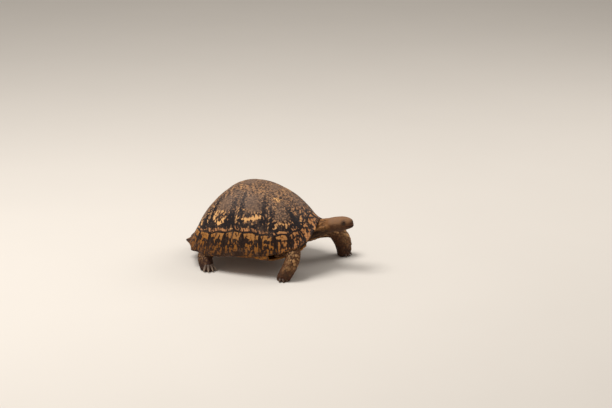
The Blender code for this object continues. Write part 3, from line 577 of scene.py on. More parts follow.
def rim_jut(edge, shell):
    """Outward shift of the free rim: two rear lobes a side, a wave along the
    ring counted in plates, and a small scallop on each plate elsewhere.  It
    fades up the seams between the rim's plates."""
    phi = np.arctan2(edge[:, 1], edge[:, 0])
    index = np.interp(np.abs(phi), RING, np.arange(LAST + 1)) / RING_SEGMENTS
    window = (np.clip((index - LOBES_START) / LOBES_FADE, 0, 1)
              * np.clip((LOBES_END - index) / LOBES_FADE, 0, 1))
    wave = 1 - 2 * np.abs(np.sin(math.pi * (index - LOBE_PLACE) / LOBE_SPACING)) ** 0.95
    shift = window * (shell.lobe * wave - shell.lobe * 0.4)
    front = smoothstep(0.35, 0.75, np.cos(phi))
    saw = (index % 1) ** 1.8 - 0.45
    shift = shift + shell.scallop * (0.25 + 0.75 * front) * saw * (1 - window)
    way = np.stack([np.cos(phi), np.sin(phi), -0.5 * front], -1)
    share = smoothstep(0.85, 0.99, np.hypot(edge[:, 0], edge[:, 1]))
    return way * (shift * share)[:, None]


def pale_ring(along, across, form):
    """Strength of a pale ring on a plate, brightest along its lower half and dark
    inside: a bell over the distance from an ellipse round (x, y), and a second
    bell at the plate's top corner, as strong as corner says."""
    x, y, wide, high, corner = form
    lower = smoothstep(0.5, -0.7, (across - y) / high)
    far = np.hypot((along - x) / wide, (across - y) / high)
    ring = np.exp(-((far - 1) / 0.30) ** 2) * (0.40 + 0.60 * lower)
    blot = np.exp(-((along + 0.001) / 0.0085) ** 2 - ((across - 0.047) / 0.0075) ** 2)
    return ring - 0.8 * np.exp(-(far / 0.60) ** 2) + blot * corner


def heart_shares(rings):
    """Shares of the way from a plate's heart to its seam: nearly even rows, then
    rows that close up on the edge."""
    body = np.linspace(0, 1, rings + 1)[1:] ** 0.92
    return np.concatenate([body[body < HEART_ROWS_END], 1 - CLOSING_ROWS])[:, None]


def plate_wear(base, s):
    """Share of worn horn: high on the shell, and more in the hearts there."""
    z = base[..., 2]
    wear = (0.70 * smoothstep(0.115, 0.200, z)
            + 0.55 * smoothstep(0.50, 0.22, s) * smoothstep(0.12, 0.18, z)
            + 0.22 * fractal(base, 0.030, 11))
    return np.clip(wear, 0, 1)


def plate_height(base, s, away, wear, radius, seed, form, shell):
    """Height over the shell: a low boss + growth rings that follow the outline and
    fade in worn horn and at the seam + a raised heart + grain and swell, less a
    quarter round at the edge."""
    wobble = fractal(base, 0.022, 31 + seed, 2)
    phase = form["count"] * (s + 0.014 * np.sin(23 * s + seed) + 0.010 * wobble)
    ridge = np.abs(np.sin(math.pi * phase)) ** 0.7 - 0.6
    band = (smoothstep(0.30, 0.46, s) * (1 - 0.7 * wear)
            * smoothstep(0.0002, 0.0022, away))
    grain = fractal(base, 0.0040, 71, 2)
    swell = fractal(base, 0.020, 91 + seed, 2)
    height = (form["boss"] * (0.55 - s ** 2) + shell.relief * ridge * band
              + 0.00022 * smoothstep(0.33, 0.27, s) + 0.00010 * grain
              + 0.00045 * swell * smoothstep(0, 0.004, away))
    x = np.clip((radius - away) / radius, 0, 1)
    return height - radius * (1 - np.sqrt(np.clip(1 - x ** 2, 0, 1)))


def plate_axes(facing, upright):
    """Two directions in a plate's face: across and up it, or ahead and left on a
    plate that lies flat."""
    if upright:
        up = unit(UP - facing * (UP @ facing))
        return np.cross(up, facing), up
    ahead = unit(FORWARD - facing * (FORWARD @ facing))
    return ahead, np.cross(facing, ahead)


def on_body(front, rows, around, back, ends):
    """One number for each point of a capped body: given on its front rows, the
    same on all rows behind them, and two for its end centres."""
    full = np.full((rows, around), float(back))
    full[:len(front)] = front
    return np.append(full.ravel(), ends)


def build_plate(name, outline, heart, place, normal, kind, seed, form, shell,
                ring=None):
    """Horn plate: rows of points from its heart out to the seam, raised over the
    shell by plate_height, then rows that go round the edge and back under it."""
    around, thick = form["around"], form["thick"]
    edge = resample(outline, place, around)
    heart = np.asarray(heart, float)
    rim, centre = place(edge), place(heart[None])[0]
    way = unit(np.roll(rim, -1, axis=0) - np.roll(rim, 1, axis=0))
    reach = np.linalg.norm(np.cross(rim - centre, way), axis=1)
    reach = np.maximum(reach, LEAST_REACH)
    edge = heart + (edge - heart) * (1 - shell.seam / 2 / reach)[:, None]
    free = (np.hypot(edge[:, 0], edge[:, 1]) > RIM_START) & (kind == RIM_ROW)
    radius = np.where(free, FREE_EDGE_RADIUS, form["edge"])
    jut = rim_jut(edge, shell) if kind == RIM_ROW else np.zeros_like(rim)

    s = heart_shares(form["rings"])
    pq = heart + s[..., None] * (edge - heart)
    base, out = place(pq), normal(pq)
    away = (1 - s) * reach
    wear = np.zeros_like(away) if kind == BELLY_ROW else plate_wear(base, s)
    height = plate_height(base, s, away, wear, radius, seed, form, shell)
    outer = base + out * height[..., None] + jut * smoothstep(0.35, 1.0, s)[..., None]

    side = out[-1]
    deep = np.where(free, thick + FREE_EDGE_EXTRA, thick)[:, None]
    low = outer[-1] - side * (deep - radius[:, None] - 0.0008)
    under = place(heart + UNDER_SHARE * (edge - heart)) + 0.9 * jut - side * deep
    middle = heart + INMOST_SHARE * (edge - heart)
    inmost = place(middle) - normal(middle) * thick
    rows = np.concatenate([outer, low[None], under[None], inmost[None]])
    points, quads, tris = capped(rows)
    top = normal(heart[None])[0]
    points[-2] = centre + top * (form["boss"] * 0.55 + 0.0002)
    points[-1] = centre - top * thick

    axes = plate_axes(unit(side.mean(0)), kind in (SIDE_ROW, RIM_ROW))
    ray = unit(rim - centre)
    turn = unit(np.stack([ray @ axis for axis in axes], -1))
    along, across = ((points - centre) @ axis for axis in axes)
    ends = (rim - centre) @ axes[1]
    rise = np.where(across > 0, across / ends.max(), -across / ends.min())
    count = len(rows)
    grow = [np.append(np.tile(turn[:, k], count), [0, 0]) for k in range(2)]
    grow.append(on_body(s, count, around, 1, [0, 1]))
    worn = on_body(wear, count, around, 0, [wear[0].mean(), 0])
    same = np.ones(len(points))
    return new_object(name, points, quads, tris, {
        "grow": np.stack(grow, -1),
        "plate": np.stack([same * (seed * 0.731), worn, same * kind], -1),
        "mark": pale_ring(along, across, ring) if ring else same * 0,
        "spot": np.stack([along, across, rise], -1),
        "seam": on_body(away, count, around, 0, [reach.mean(), 0])})


# --------------------------------------------------------------- node trees
class Field:
    """A value or vector of a node tree, with plain arithmetic."""

    def __init__(self, graph, socket):
        self.graph = graph
        self.socket = socket

    def _math(self, operation, *others):
        node = self.graph.node("ShaderNodeMath", {"operation": operation})
        for index, value in enumerate((self, *others)):
            self.graph.feed(node.inputs[index], value)
        return Field(self.graph, node.outputs[0])

    def __add__(self, other):
        return self._math("ADD", other)

    def __sub__(self, other):
        return self._math("SUBTRACT", other)

    def __rsub__(self, other):
        return (self * -1.0) + other

    def __mul__(self, other):
        return self._math("MULTIPLY", other)

    def __pow__(self, other):
        return self._math("POWER", other)

    __radd__ = __add__
    __rmul__ = __mul__

    def clamp(self):
        return self._math("MAXIMUM", 0.0)._math("MINIMUM", 1.0)

    def abs(self):
        return self._math("ABSOLUTE")

    def sin(self):
        return self._math("SINE")

    def step(self, low, high):
        """0 below low, 1 above high, eased between; low may be above high."""
        node = self.graph.node("ShaderNodeMapRange",
                               {"interpolation_type": "SMOOTHSTEP"})
        flip = low > high
        small, large = (high, low) if flip else (low, high)
        ends = (1.0, 0.0) if flip else (0.0, 1.0)
        for name, value in (("From Min", small), ("From Max", large),
                            ("To Min", ends[0]), ("To Max", ends[1])):
            node.inputs[name].default_value = value
        self.graph.feed(node.inputs["Value"], self)
        return Field(self.graph, node.outputs["Result"])

    def hump(self, low, high, soft):
        """1 between low and high, 0 outside, with soft ends."""
        return (self.step(low - soft, low + soft)
                * self.step(high + soft, high - soft))


class Graph:
    """Builds one material."""

    def __init__(self, name, roughness, specular):
        self.material = bpy.data.materials.new(name)
        self.material.use_nodes = True
        self.tree = self.material.node_tree
        self.shader = self.tree.nodes["Principled BSDF"]
        self.set("Roughness", roughness)
        self.set("Specular IOR Level", specular)

    def node(self, kind, settings=None, inputs=None):
        made = self.tree.nodes.new(kind)
        for key, value in (settings or {}).items():
            setattr(made, key, value)
        for key, value in (inputs or {}).items():
            self.feed(made.inputs[key], value)
        return made

    def feed(self, socket, value):
        """Link a field to a socket, or set its value; three numbers are a colour."""
        if isinstance(value, Field):
            self.tree.links.new(value.socket, socket)
        elif socket.type == "RGBA":
            socket.default_value = (*value, 1)
        else:
            socket.default_value = value

    def set(self, name, value):
        self.feed(self.shader.inputs[name], value)

    def split(self, vector):
        made = self.node("ShaderNodeSeparateXYZ", None, {"Vector": vector})
        return [Field(self, output) for output in made.outputs]

    def vector(self, x, y, z):
        made = self.node("ShaderNodeCombineXYZ", None, {"X": x, "Y": y, "Z": z})
        return Field(self, made.outputs[0])

    def attribute(self, name, output):
        made = self.node("ShaderNodeAttribute", {"attribute_name": name})
        return Field(self, made.outputs[output])

    def number(self, name):
        return self.attribute(name, "Fac")

    def parts(self, name):
        """The three numbers of a vector attribute."""
        return self.split(self.attribute(name, "Vector"))

    def place(self):
        return Field(self, self.node("ShaderNodeTexCoord").outputs["Object"])

    def noise(self, where, scale, detail=2.0, rough=0.5):
        made = self.node("ShaderNodeTexNoise", None, {
            "Vector": where, "Scale": scale, "Detail": detail, "Roughness": rough})
        return Field(self, made.outputs["Fac"])

    def pebbles(self, where, scale):
        """Distance to the edge of a pebble."""
        made = self.node("ShaderNodeTexVoronoi", {"feature": "DISTANCE_TO_EDGE"},
                         {"Vector": where, "Scale": scale})
        return Field(self, made.outputs["Distance"])

    def mix(self, factor, first, second):
        made = self.node("ShaderNodeMix", {"data_type": "RGBA"})
        for index, value in ((0, factor), (6, first), (7, second)):
            self.feed(made.inputs[index], value)
        return Field(self, made.outputs[2])

    def bump(self, height, distance, strength):
        made = self.node("ShaderNodeBump", None, {
            "Height": height, "Distance": distance, "Strength": strength})
        self.set("Normal", Field(self, made.outputs[0]))


# -------------------------------------------------------------------- flesh
def limb_rings(stations, count, around, reference, flat_end):
    """Elliptic rings along a curved limb: a station's place, half width across
    and half depth, carried along a Catmull-Rom path."""
    rows = smooth_rows(stations, count)
    tangent = unit(np.gradient(rows[:, :3], axis=0))
    if flat_end:
        share = smoothstep(0.84, 1.0, np.linspace(0, 1, count))[:, None]
        tangent = unit(tangent * (1 - share) - UP * share)
    turn = np.linspace(0, TAU, around, endpoint=False)
    across = unit(np.cross(tangent, reference))
    along = np.cross(across, tangent)
    return (rows[:, None, :3]
            + (np.cos(turn) * rows[:, 3:4])[..., None] * across[:, None]
            + (np.sin(turn) * rows[:, 4:5])[..., None] * along[:, None])


def head_axes():
    """Columns ahead, left and up of the turned and raised head."""
    turn = Matrix.Rotation(HEAD_TURN, 3, "Z") @ Matrix.Rotation(-HEAD_PITCH, 3, "Y")
    return np.array(turn)


HEAD_AXES = head_axes()


def to_head(points):
    return (points - HEAD_CENTRE) @ HEAD_AXES


def from_head(local):
    return local @ HEAD_AXES.T + HEAD_CENTRE


def head_rings(count, around):
    """Superellipse sections, taller above the jaw line than below it."""
    rows = smooth_rows(HEAD, count)
    turn = np.linspace(0, TAU, around, endpoint=False)
    c, s = np.cos(turn), np.sin(turn)
    side = rows[:, 1:2] * np.sign(c) * np.abs(c) ** HEAD_ROUND
    height = np.where(s > 0, rows[:, 2:3], rows[:, 3:4])
    lift = height * np.sign(s) * np.abs(s) ** HEAD_ROUND
    along = np.broadcast_to(rows[:, :1], side.shape)
    return from_head(np.stack([along, side, lift], -1))


def ellipsoid(centre, radii):
    """Rings of an ellipsoid from one pole to the other."""
    tilt = np.linspace(0.04, math.pi - 0.04, 28)[:, None]
    turn = np.linspace(0, TAU, 48, endpoint=False)[None]
    ball = np.stack([np.sin(tilt) * np.cos(turn), np.sin(tilt) * np.sin(turn),
                     np.cos(tilt) + 0 * turn], -1)
    return np.array(centre) + ball * np.array(radii)


def outward(points, quads, tris):
    """The same body with its faces turned outwards."""
    p = points - points.mean(0)
    fans = np.vstack([quads[:, [0, 1, 2]], quads[:, [0, 2, 3]], tris])
    volume = np.einsum("ij,ij->i", p[fans[:, 0]],
                       np.cross(p[fans[:, 1]], p[fans[:, 2]])).sum()
    if volume < 0:
        quads, tris = quads[:, ::-1], tris[:, ::-1]
    return points, quads, tris


def flesh_rings():
    """Rings of every fleshy body, which overlap and are made one."""
    made = [limb_rings(rows, 61, 44, FORWARD, True) for rows in LEGS.values()]
    made.append(limb_rings(NECK, 49, 44, UP, False))
    made.append(limb_rings(TAIL, 31, 28, UP, False))
    made.append(head_rings(49, 48))
    return made + [ellipsoid(centre, radii) for centre, radii in TRUNK_BODIES]


def fused(points, quads, tris, voxel):
    """One mesh round several bodies, with faces of a voxel's size."""
    mesh = bpy.data.meshes.new("fusing")
    mesh.from_pydata(points.tolist(), [], quads.tolist() + tris.tolist())
    holder = bpy.data.objects.new("fusing", mesh)
    bpy.context.scene.collection.objects.link(holder)
    step = holder.modifiers.new("voxels", "REMESH")
    step.mode = "VOXEL"
    step.voxel_size = voxel
    graph = bpy.context.evaluated_depsgraph_get()
    made = bpy.data.meshes.new_from_object(holder.evaluated_get(graph))
    bpy.data.objects.remove(holder, do_unlink=True)
    bpy.data.meshes.remove(mesh)
    return made


def read(mesh, field):
    """Points ("co") or normals ("normal") of a mesh, one row each."""
    flat = np.empty(len(mesh.vertices) * 3, np.float32)
    mesh.vertices.foreach_get(field, flat)
    return flat.reshape(-1, 3).astype(float)


def write_points(mesh, points):
    mesh.vertices.foreach_set("co", np.asarray(points, np.float32).ravel())
    mesh.update()


def relaxed(mesh, rounds, hold=None):
    """Laplacian smoothing: each round moves a point half way to the mean of its
    neighbours, or less where hold is under 1."""
    points = read(mesh, "co")
    flat = np.empty(len(mesh.edges) * 2, np.int32)
    mesh.edges.foreach_get("vertices", flat)
    a, b = flat.reshape(-1, 2).T
    degree = np.bincount(np.concatenate([a, b]), minlength=len(points))[:, None]
    for _ in range(rounds):
        total = np.stack([np.bincount(a, points[b, k], len(points))
                          + np.bincount(b, points[a, k], len(points))
                          for k in range(3)], -1)
        move = 0.5 * (total / degree - points)
        points = points + (move if hold is None else move * hold[:, None])
    write_points(mesh, points)


def refined(mesh, chosen):
    """Halve the edges of the faces inside the chosen region."""
    bm = bmesh.new()
    bm.from_mesh(mesh)
    inside = chosen(read(mesh, "co"))
    faces = [f for f in bm.faces if all(inside[v.index] for v in f.verts)]
    edges = list({e for f in faces for e in f.edges})
    bmesh.ops.subdivide_edges(bm, edges=edges, cuts=1, use_grid_fill=True,
                              smooth=0.0)
    bmesh.ops.triangulate(bm, faces=[f for f in bm.faces if len(f.verts) > 4])
    bm.to_mesh(mesh)
    bm.free()


REAR_LIMB = 2
NECK_LIMB = 4
LOW_DARKENING = np.array([0.50, 0.60, 0.70])


def limb_places(points):
    """Nearest limb of each point, how far along it, and the angle round it."""
    best = np.full(len(points), 1e9)
    which = np.zeros(len(points), int)
    along = np.zeros(len(points))
    angle = np.zeros(len(points))
    for index, table in enumerate((*LEGS.values(), NECK, TAIL)):
        rows = smooth_rows(table, 41)
        reference = FORWARD if index < NECK_LIMB else UP
        tangent = unit(np.gradient(rows[:, :3], axis=0))
        away = ((points[:, None] - rows[None, :, :3]) ** 2).sum(-1)
        k = away.argmin(1)
        apart = np.sqrt(away[np.arange(len(points)), k]) / rows[k, 3]
        across = unit(np.cross(tangent[k], reference))
        front = np.cross(across, tangent[k])
        gap = points - rows[k, :3]
        turn = np.arctan2((gap * front).sum(1), (gap * across).sum(1))
        nearer = apart < best
        best = np.where(nearer, apart, best)
        which = np.where(nearer, index, which)
        along = np.where(nearer, k / 40, along)
        angle = np.where(nearer, turn, angle)
    return which, along, angle


def in_head(points):
    """Share of the head at each point: 1 in it, 0 on the neck and elsewhere."""
    q = to_head(points)
    near = (np.abs(q[:, 1]) < 0.030) & (np.abs(q[:, 2]) < 0.030)
    return smoothstep(-0.040, -0.024, q[:, 0]) * near


def from_nostril(q):
    """Distance from the nearer nostril, in the head frame."""
    folded = np.stack([q[:, 0], np.abs(q[:, 1]), q[:, 2]], -1)
    return np.linalg.norm(folded - NOSTRIL, axis=1)


def collar_fold(climb, along):
    """Share of the loose fold along each side of the neck: a bell over the climb
    from the neck's side, fading at the head."""
    return np.exp(-((climb - 0.20) / 0.13) ** 2) * smoothstep(1.02, 0.86, along)


def head_tint(q, skin):
    """Colour of the head: a pale crown over brown sides, painted shade of the lids
    round the eyes, darker on the snout, and painted shade in the nostrils and under
    the jaw."""
    top = smoothstep(0.001, 0.010, q[:, 2:])
    face = (np.array(skin.head_side_colour) * (1 - top)
            + np.array(skin.head_top_colour) * top)
    eye = np.hypot(q[:, 0] - EYE_PLACE[0], q[:, 2] - EYE_PLACE[2])[:, None]
    snout = smoothstep(0.0235, 0.0300, q[:, :1])
    # painted shade of the lids round each eye; the snout is darker
    face = face * (1 - 0.65 * smoothstep(0.0085, 0.0048, eye)) * (1 - 0.35 * snout)
    # painted shade in the nostrils
    face = face * (1 - 0.80 * smoothstep(0.0020, 0.0010, from_nostril(q)[:, None]))
    # painted shade under the jaw
    return face * (1 - 0.30 * smoothstep(0.0, -0.012, q[:, 2:]))


def flesh_tint(points, skin):
    """Colour of skin and scales by place, the same for both: neck, fore and hind
    legs, darker low down; the head; painted shade under the neck and painted
    highlights on its folds; and painted shade at the neck's base under the rim, on
    the chest, in the leg pockets and under the shell."""
    head = in_head(points)[:, None]
    which, along, angle = (row[:, None] for row in limb_places(points))
    x, z = points[:, :1], points[:, 2:]
    fore = (which < REAR_LIMB) * 1.0
    hind = ((which >= REAR_LIMB) & (which < NECK_LIMB)) * 1.0
    neck = (which == NECK_LIMB) * 1.0 * (1 - head)
    low = smoothstep(0.062, 0.014, z)
    colour = np.array(skin.neck_colour) + np.zeros_like(points)
    colour = colour * (1 - fore) + fore * np.array(skin.foreleg_colour)
    colour = colour * (1 - hind) + hind * np.array(skin.hindleg_colour)
    colour = colour * (1 - low * (fore + hind) * LOW_DARKENING)
    colour = colour * (1 - head) + head * head_tint(to_head(points), skin)
    climb = np.arcsin(np.sin(angle))
    # painted shade under the neck
    colour = colour * (1 - 0.78 * smoothstep(0.10, -0.25, climb) * neck)
    # painted shade at the neck's base under the shell's front rim, and on the chest
    pocket = smoothstep(0.205, 0.170, x) * smoothstep(0.55, 0.05, climb)
    chest_shade = smoothstep(0.10, 0.14, x) * (1 - fore) * (1 - hind)
    chest_shade = chest_shade * (1 - (which == NECK_LIMB))
    colour = colour * (1 - 0.42 * pocket * neck) * (1 - 0.50 * chest_shade)
    # painted highlight on the crest of each loose side fold of the neck
    fold_highlight = 0.45 * neck * collar_fold(climb, along)
    colour = colour * (1 - fold_highlight) + fold_highlight * np.array(skin.fold_highlight_colour)
    # painted shade in the leg pockets and under the shell
    deep = smoothstep(0.165, 0.135, x) * smoothstep(-0.115, -0.095, x)
    shade = 1 - 0.45 * deep * smoothstep(0.055, 0.080, z)
    return np.clip(colour * shade, 0.001, 1)


def eye_frame(side):
    """Centre, gaze and up direction of one eye, in the head frame."""
    centre = np.array([EYE_PLACE[0], side * EYE_PLACE[1], EYE_PLACE[2]])
    gaze = unit(np.array([0.26, side * 0.95, 0.10]))
    up = unit(UP - gaze * (gaze @ UP))
    return centre, gaze, up, np.cross(up, gaze) * side


def eyelids(q, skin):
    """Skin of the head round the eyes: drawn out to the lid's radius outside an
    almond opening and back behind the ball inside it."""
    moved = q.copy()
    for side in (1, -1):
        centre, gaze, up, ahead = eye_frame(side)
        v = q - centre
        r = np.linalg.norm(v, axis=1)
        n = v / r[:, None]
        facing = n @ gaze
        a = np.arctan2(n @ ahead, facing)
        b = np.arctan2(n @ up, facing)
        width, height = skin.eye_opening_width, skin.eye_opening_height
        almond = (np.abs(a / width) ** 2.0 + np.abs(b / height) ** 1.7) ** 0.55 - 1
        lid = EYE_RADIUS + skin.lid_thickness
        rim = EYE_RADIUS + 0.75 * skin.lid_thickness
        sink = EYE_RADIUS - 0.0009
        outside = rim + (lid - rim) * smoothstep(0, 0.25, almond)
        border = sink + (rim - sink) * smoothstep(-0.10, 0.10, almond)
        target = np.where(almond > 0.0, outside, sink)
        target = np.where(np.abs(almond) < 0.10, border, target)
        fold = 0.00045 * np.exp(-((almond - 0.75) / 0.16) ** 2)
        swell = smoothstep(2.3, 1.25, almond)
        keep = np.where(almond < 0.05, target,
                        np.maximum(r, target * swell + r * (1 - swell)) - fold)
        share = smoothstep(0.15, 0.40, facing) * (r < 0.012)
        r_new = r * (1 - share) + keep * share
        moved = moved + n * (r_new - r)[:, None]
    return moved


def head_relief(q, n):
    """Height added to the head: brow ridges, snout and crown plates, ear drum,
    nostrils and the corner of the mouth."""
    side = np.abs(q[:, 1])
    crown = smoothstep(0.10, 0.6, n[:, 2])
    warp = q + 0.0009 * shift_noise(q, 0.006, 5)
    big, _ = cells(warp * np.array([0.8, 1.0, 1.0]), 0.0072, 17)
    mid, _ = cells(warp, 0.0046, 23)
    small, _ = cells(warp, 0.0027, 29)
    snout = smoothstep(-0.006, 0.004, q[:, 0])
    plates = (smoothstep(0.0, 0.30, big) * snout * crown * 0.00055
              + smoothstep(0.0, 0.34, mid) * (1 - snout) * crown * 0.00050
              + smoothstep(0.0, 0.36, small) * (1 - crown) * 0.00030)
    brow = 0.0010 * np.exp(-((q[:, 0] - 0.0075) / 0.0065) ** 2
                           - ((side - 0.0135) / 0.0028) ** 2
                           - ((q[:, 2] - 0.0128) / 0.0026) ** 2)
    drum_at = np.hypot((q[:, 0] + 0.0150) / 0.0052, (q[:, 2] + 0.0010) / 0.0062)
    flank = smoothstep(0.5, 0.8, np.abs(n[:, 1]))
    drum = (0.0005 * smoothstep(0.95, 0.5, drum_at)
            - 0.0010 * np.exp(-((drum_at - 1.08) / 0.13) ** 2)) * flank
    plates = plates * (1 - smoothstep(1.2, 0.9, drum_at) * flank)
    nose = from_nostril(q)
    nostril = -0.0030 * np.exp(-(nose / 0.00125) ** 2)
    collar = 0.0004 * np.exp(-((nose - 0.0027) / 0.0008) ** 2)
    line = MOUTH_HEIGHT - math.tan(MOUTH_TILT) * (q[:, 0] - BEAK_BACK)
    line = line + 0.0012 * smoothstep(0.013, -0.004, q[:, 0])
    mouth = (-0.0009 * np.exp(-((q[:, 2] - line) / 0.00055) ** 2)
             * smoothstep(-0.0045, -0.0020, q[:, 0])
             * smoothstep(0.2, 0.5, np.abs(n[:, 1])))
    return plates + brow + drum + nostril + collar + mouth


def pebbled(points, which, along, angle, skin):
    """Height of the pebbled scales, which are large on the outer sides of the
    legs, and how far inside its pebble each point is."""
    warp = points + 0.0012 * shift_noise(points, 0.009, 41)
    coarse, coarse_id = cells(warp, skin.scale_size, 53)
    fine, fine_id = cells(warp, skin.scale_size * 0.62, 59)
    outer = np.where(which % 2 == 0, np.cos(angle - 0.6), np.cos(angle - 2.5))
    big = (which < NECK_LIMB) * smoothstep(-0.3, 0.5, outer)
    big = big * smoothstep(0.25, 0.5, along)
    height = (smoothstep(0.0, 0.42, coarse) * big * 0.0011
              + smoothstep(0.0, 0.42, fine) * (1 - big) * 0.00055)
    uneven = 0.75 + 0.4 * (coarse_id * big + fine_id * (1 - big))
    return height * skin.scale_height * uneven, big * coarse + (1 - big) * fine


def skin_relief(points, skin):
    """Height added to the skin behind the head: pebbled scales, rolls along the
    neck and wrinkles across it, its loose side folds, creases round the bends of
    the legs, and a slack swell.  Also the pebbles' edges and the rolls."""
    which, along, angle = limb_places(points)
    head = in_head(points)
    noise = fractal(points, 0.020, 3, 3)
    pebble, edge = pebbled(points, which, along, angle, skin)
    neck = (which == NECK_LIMB) * (1 - head)
    stretch = points * np.array([0.35, 1.0, 1.0])
    wave = angle * 1.45 + along * 1.1 + 1.3 * fractal(stretch, 0.012, 77, 3)
    rolls = (0.5 + 0.5 * np.cos(TAU * wave)) ** 0.7
    cross = (0.5 + 0.5 * np.cos(TAU * (along * 22 + 0.8 * noise))) ** 2
    slack = smoothstep(1.0, 0.80, along)
    folds = (rolls - 0.5) * (0.4 + 0.6 * slack) - 0.18 * cross
    folds = neck * skin.fold_depth * folds
    climb = np.arcsin(np.sin(angle))
    folds = folds + neck * (0.0022 * collar_fold(climb, along)
                            - 0.0016 * collar_fold(climb + 0.34, along))
    bend = (which < NECK_LIMB) * smoothstep(0.62, 0.25, along)
    crease = (0.5 + 0.5 * np.cos(TAU * (along * 11 + 1.1 * noise))) ** 0.6
    folds = folds + bend * skin.fold_depth * 0.8 * (crease - 0.5)
    sag = 0.0012 * (1 - head) * fractal(points, 0.030, 83, 2)
    return (pebble + folds + sag) * (1 - head), edge, rolls * neck + crease * bend


def near_head(points):
    return (in_head(points) > 0.02) & (to_head(points)[:, 0] > -0.034)


def near_eyes(points):
    q = to_head(points)
    spots = [np.linalg.norm(q - eye_frame(side)[0], axis=1) for side in (1, -1)]
    return np.minimum(*spots) < 0.0088


def near_nose(points):
    return np.linalg.norm(to_head(points) - NOSE_TIP, axis=1) < 0.0075


def build_flesh(skin):
    """The whole skin: lofted bodies made one, relaxed, with finer faces on the
    head and the finest at the eyes and nose, then given its relief."""
    parts = [outward(*capped(rings)) for rings in flesh_rings()]
    mesh = fused(*merge(parts), skin.voxel)
    relaxed(mesh, 6)
    refined(mesh, near_head)
    relaxed(mesh, 2)
    refined(mesh, lambda p: near_eyes(p) | near_nose(p))
    relaxed(mesh, 1, near_eyes(read(mesh, "co")) * 1.0)

    points, normals = read(mesh, "co"), read(mesh, "normal")
    head = in_head(points)
    q, q_normals = to_head(points), normals @ HEAD_AXES
    rise = head_relief(q, q_normals) * (1 - 0.75 * near_eyes(points)) * head
    q = q + q_normals * rise[:, None]
    q = np.where(head[:, None] > 0.5, eyelids(q, skin), q)
    lift, edge, roll = skin_relief(points, skin)
    sole = smoothstep(0.0, 0.006, points[:, 2])
    depth = (lift - skin.inset * (1 - head)) * sole
    shifted = from_head(q) + normals * depth[:, None]
    shifted[:, 2] = np.maximum(shifted[:, 2], 0.0)
    write_points(mesh, shifted + HOME)
    mesh.validate()
    mesh.shade_smooth()
    add_attributes(mesh, {
        "tint": flesh_tint(points, skin),
        "relief": np.stack([edge * (1 - head) + head, roll, head], -1)})
    mesh.name = "skin"
    made = bpy.data.objects.new("skin", mesh)
    bpy.context.scene.collection.objects.link(made)
    return made


# ------------------------------------------------------------- leg scales
LEG_ROWS = 120
LEG_AROUND = 96
SCALE_ROWS = 6
SCALE_TURN = np.array([(-1.0, 0.0), (-0.72, 0.62), (0.0, 1.0), (0.72, 0.62),
                       (1.0, 0.0), (0.0, -0.35)])
SCALE_PATCH = 0.0015
SCALE_THICK = 0.0017
SCALE_TIP_LIFT = 0.0016
SCALE_SUNK = 0.0004
SCALE_CLEAR = 0.0004
SCALES_FROM = 0.006
SCALE_AREAS = {
    # first and last share of the leg's length, first and last degree round it,
    # spacing, length of a scale, stoutness
    "leg_front_right": (0.36, 0.97, -75, 165, 0.0068, 0.0105, 1.0),
    "leg_front_left": (0.30, 0.97, 15, 255, 0.0082, 0.0130, 1.4),
    "leg_rear_right": (0.45, 0.97, -150, 80, 0.0062, 0.0076, 0.7),
    "leg_rear_left": (0.45, 0.97, 100, 330, 0.0062, 0.0076, 0.7),
}


def leg_surface(name):
    """Function that reads a leg's surface from a dense table, mixing the four
    nearest places: u along the leg from 0 to 1, v round it in radians."""
    table = limb_rings(LEGS[name], LEG_ROWS + 1, LEG_AROUND, FORWARD, True)

    def place(u, v):
        i = np.clip(u, 0, 1) * LEG_ROWS
        k = (v / TAU % 1) * LEG_AROUND
        i0 = np.minimum(i.astype(int), LEG_ROWS - 1)
        k0 = k.astype(int) % LEG_AROUND
        k1 = (k0 + 1) % LEG_AROUND
        down, turn = (i - i0)[..., None], (k - np.floor(k))[..., None]
        low = table[i0, k0] * (1 - turn) + table[i0, k1] * turn
        high = table[i0 + 1, k0] * (1 - turn) + table[i0 + 1, k1] * turn
        return low * (1 - down) + high * down

    return place


def horn_scales(roots, ahead, normals, sizes, lifts, spots):
    """Overlapping pointed scales.  Each is a row of six-sided sections from
    root to tip: width rises then closes to a point, thickness swells to the
    middle, and the tip stands off the skin.  Also their patch coordinates."""
    b = np.linspace(0, 1, SCALE_ROWS)
    wide = (0.62 + 0.38 * np.sin(b * 2.2)) * np.clip(1 - b ** 3.2, 0.02, 1) ** 0.75
    tall = 0.35 + 0.65 * np.sin(np.minimum(b * 1.9, 1.9))
    tall = tall * np.clip(1.06 - b ** 4, 0, 1)
    across = unit(np.cross(ahead, normals))
    length, width, height = sizes.T
    x = (length[:, None] * (b - 0.30))[..., None, None] * ahead[:, None, None]
    y = (width[:, None, None] * wide[None, :, None] * SCALE_TURN[None, None, :, 0])
    z = (height[:, None, None] * tall[None, :, None] * SCALE_TURN[None, None, :, 1]
         + (lifts[:, None] * b[None] ** 1.6)[..., None] - 0.0006)
    points = (roots[:, None, None] + x + y[..., None] * across[:, None, None]
              + z[..., None] * normals[:, None, None])
    count, rows, around = points.shape[:3]
    ends = points[:, [0, -1]].mean(2)
    cloud = np.concatenate([points.reshape(count, -1, 3), ends], 1)
    per = rows * around + 2
    quads = band_quads(rows, around)
    tris = end_fans(rows, around, per - 2)
    shift = (np.arange(count) * per)[:, None, None]
    patch = np.zeros((count, per, 2))
    patch[:, :-2, 0] = np.tile(np.linspace(-1, 1, around), rows)
    patch[:, :-2, 1] = np.repeat(b * 2 - 1, around)
    patch[:, -2:, 1] = (-1, 1)
    uv = spots[:, None] + SCALE_PATCH * patch
    tips = np.zeros((count, per))
    tips[:, :-2] = np.repeat(b, around)
    tips[:, -1] = 1
    return (cloud.reshape(-1, 3), (quads + shift).reshape(-1, 4),
            (tris + shift).reshape(-1, 3), uv.reshape(-1, 2), tips.ravel())


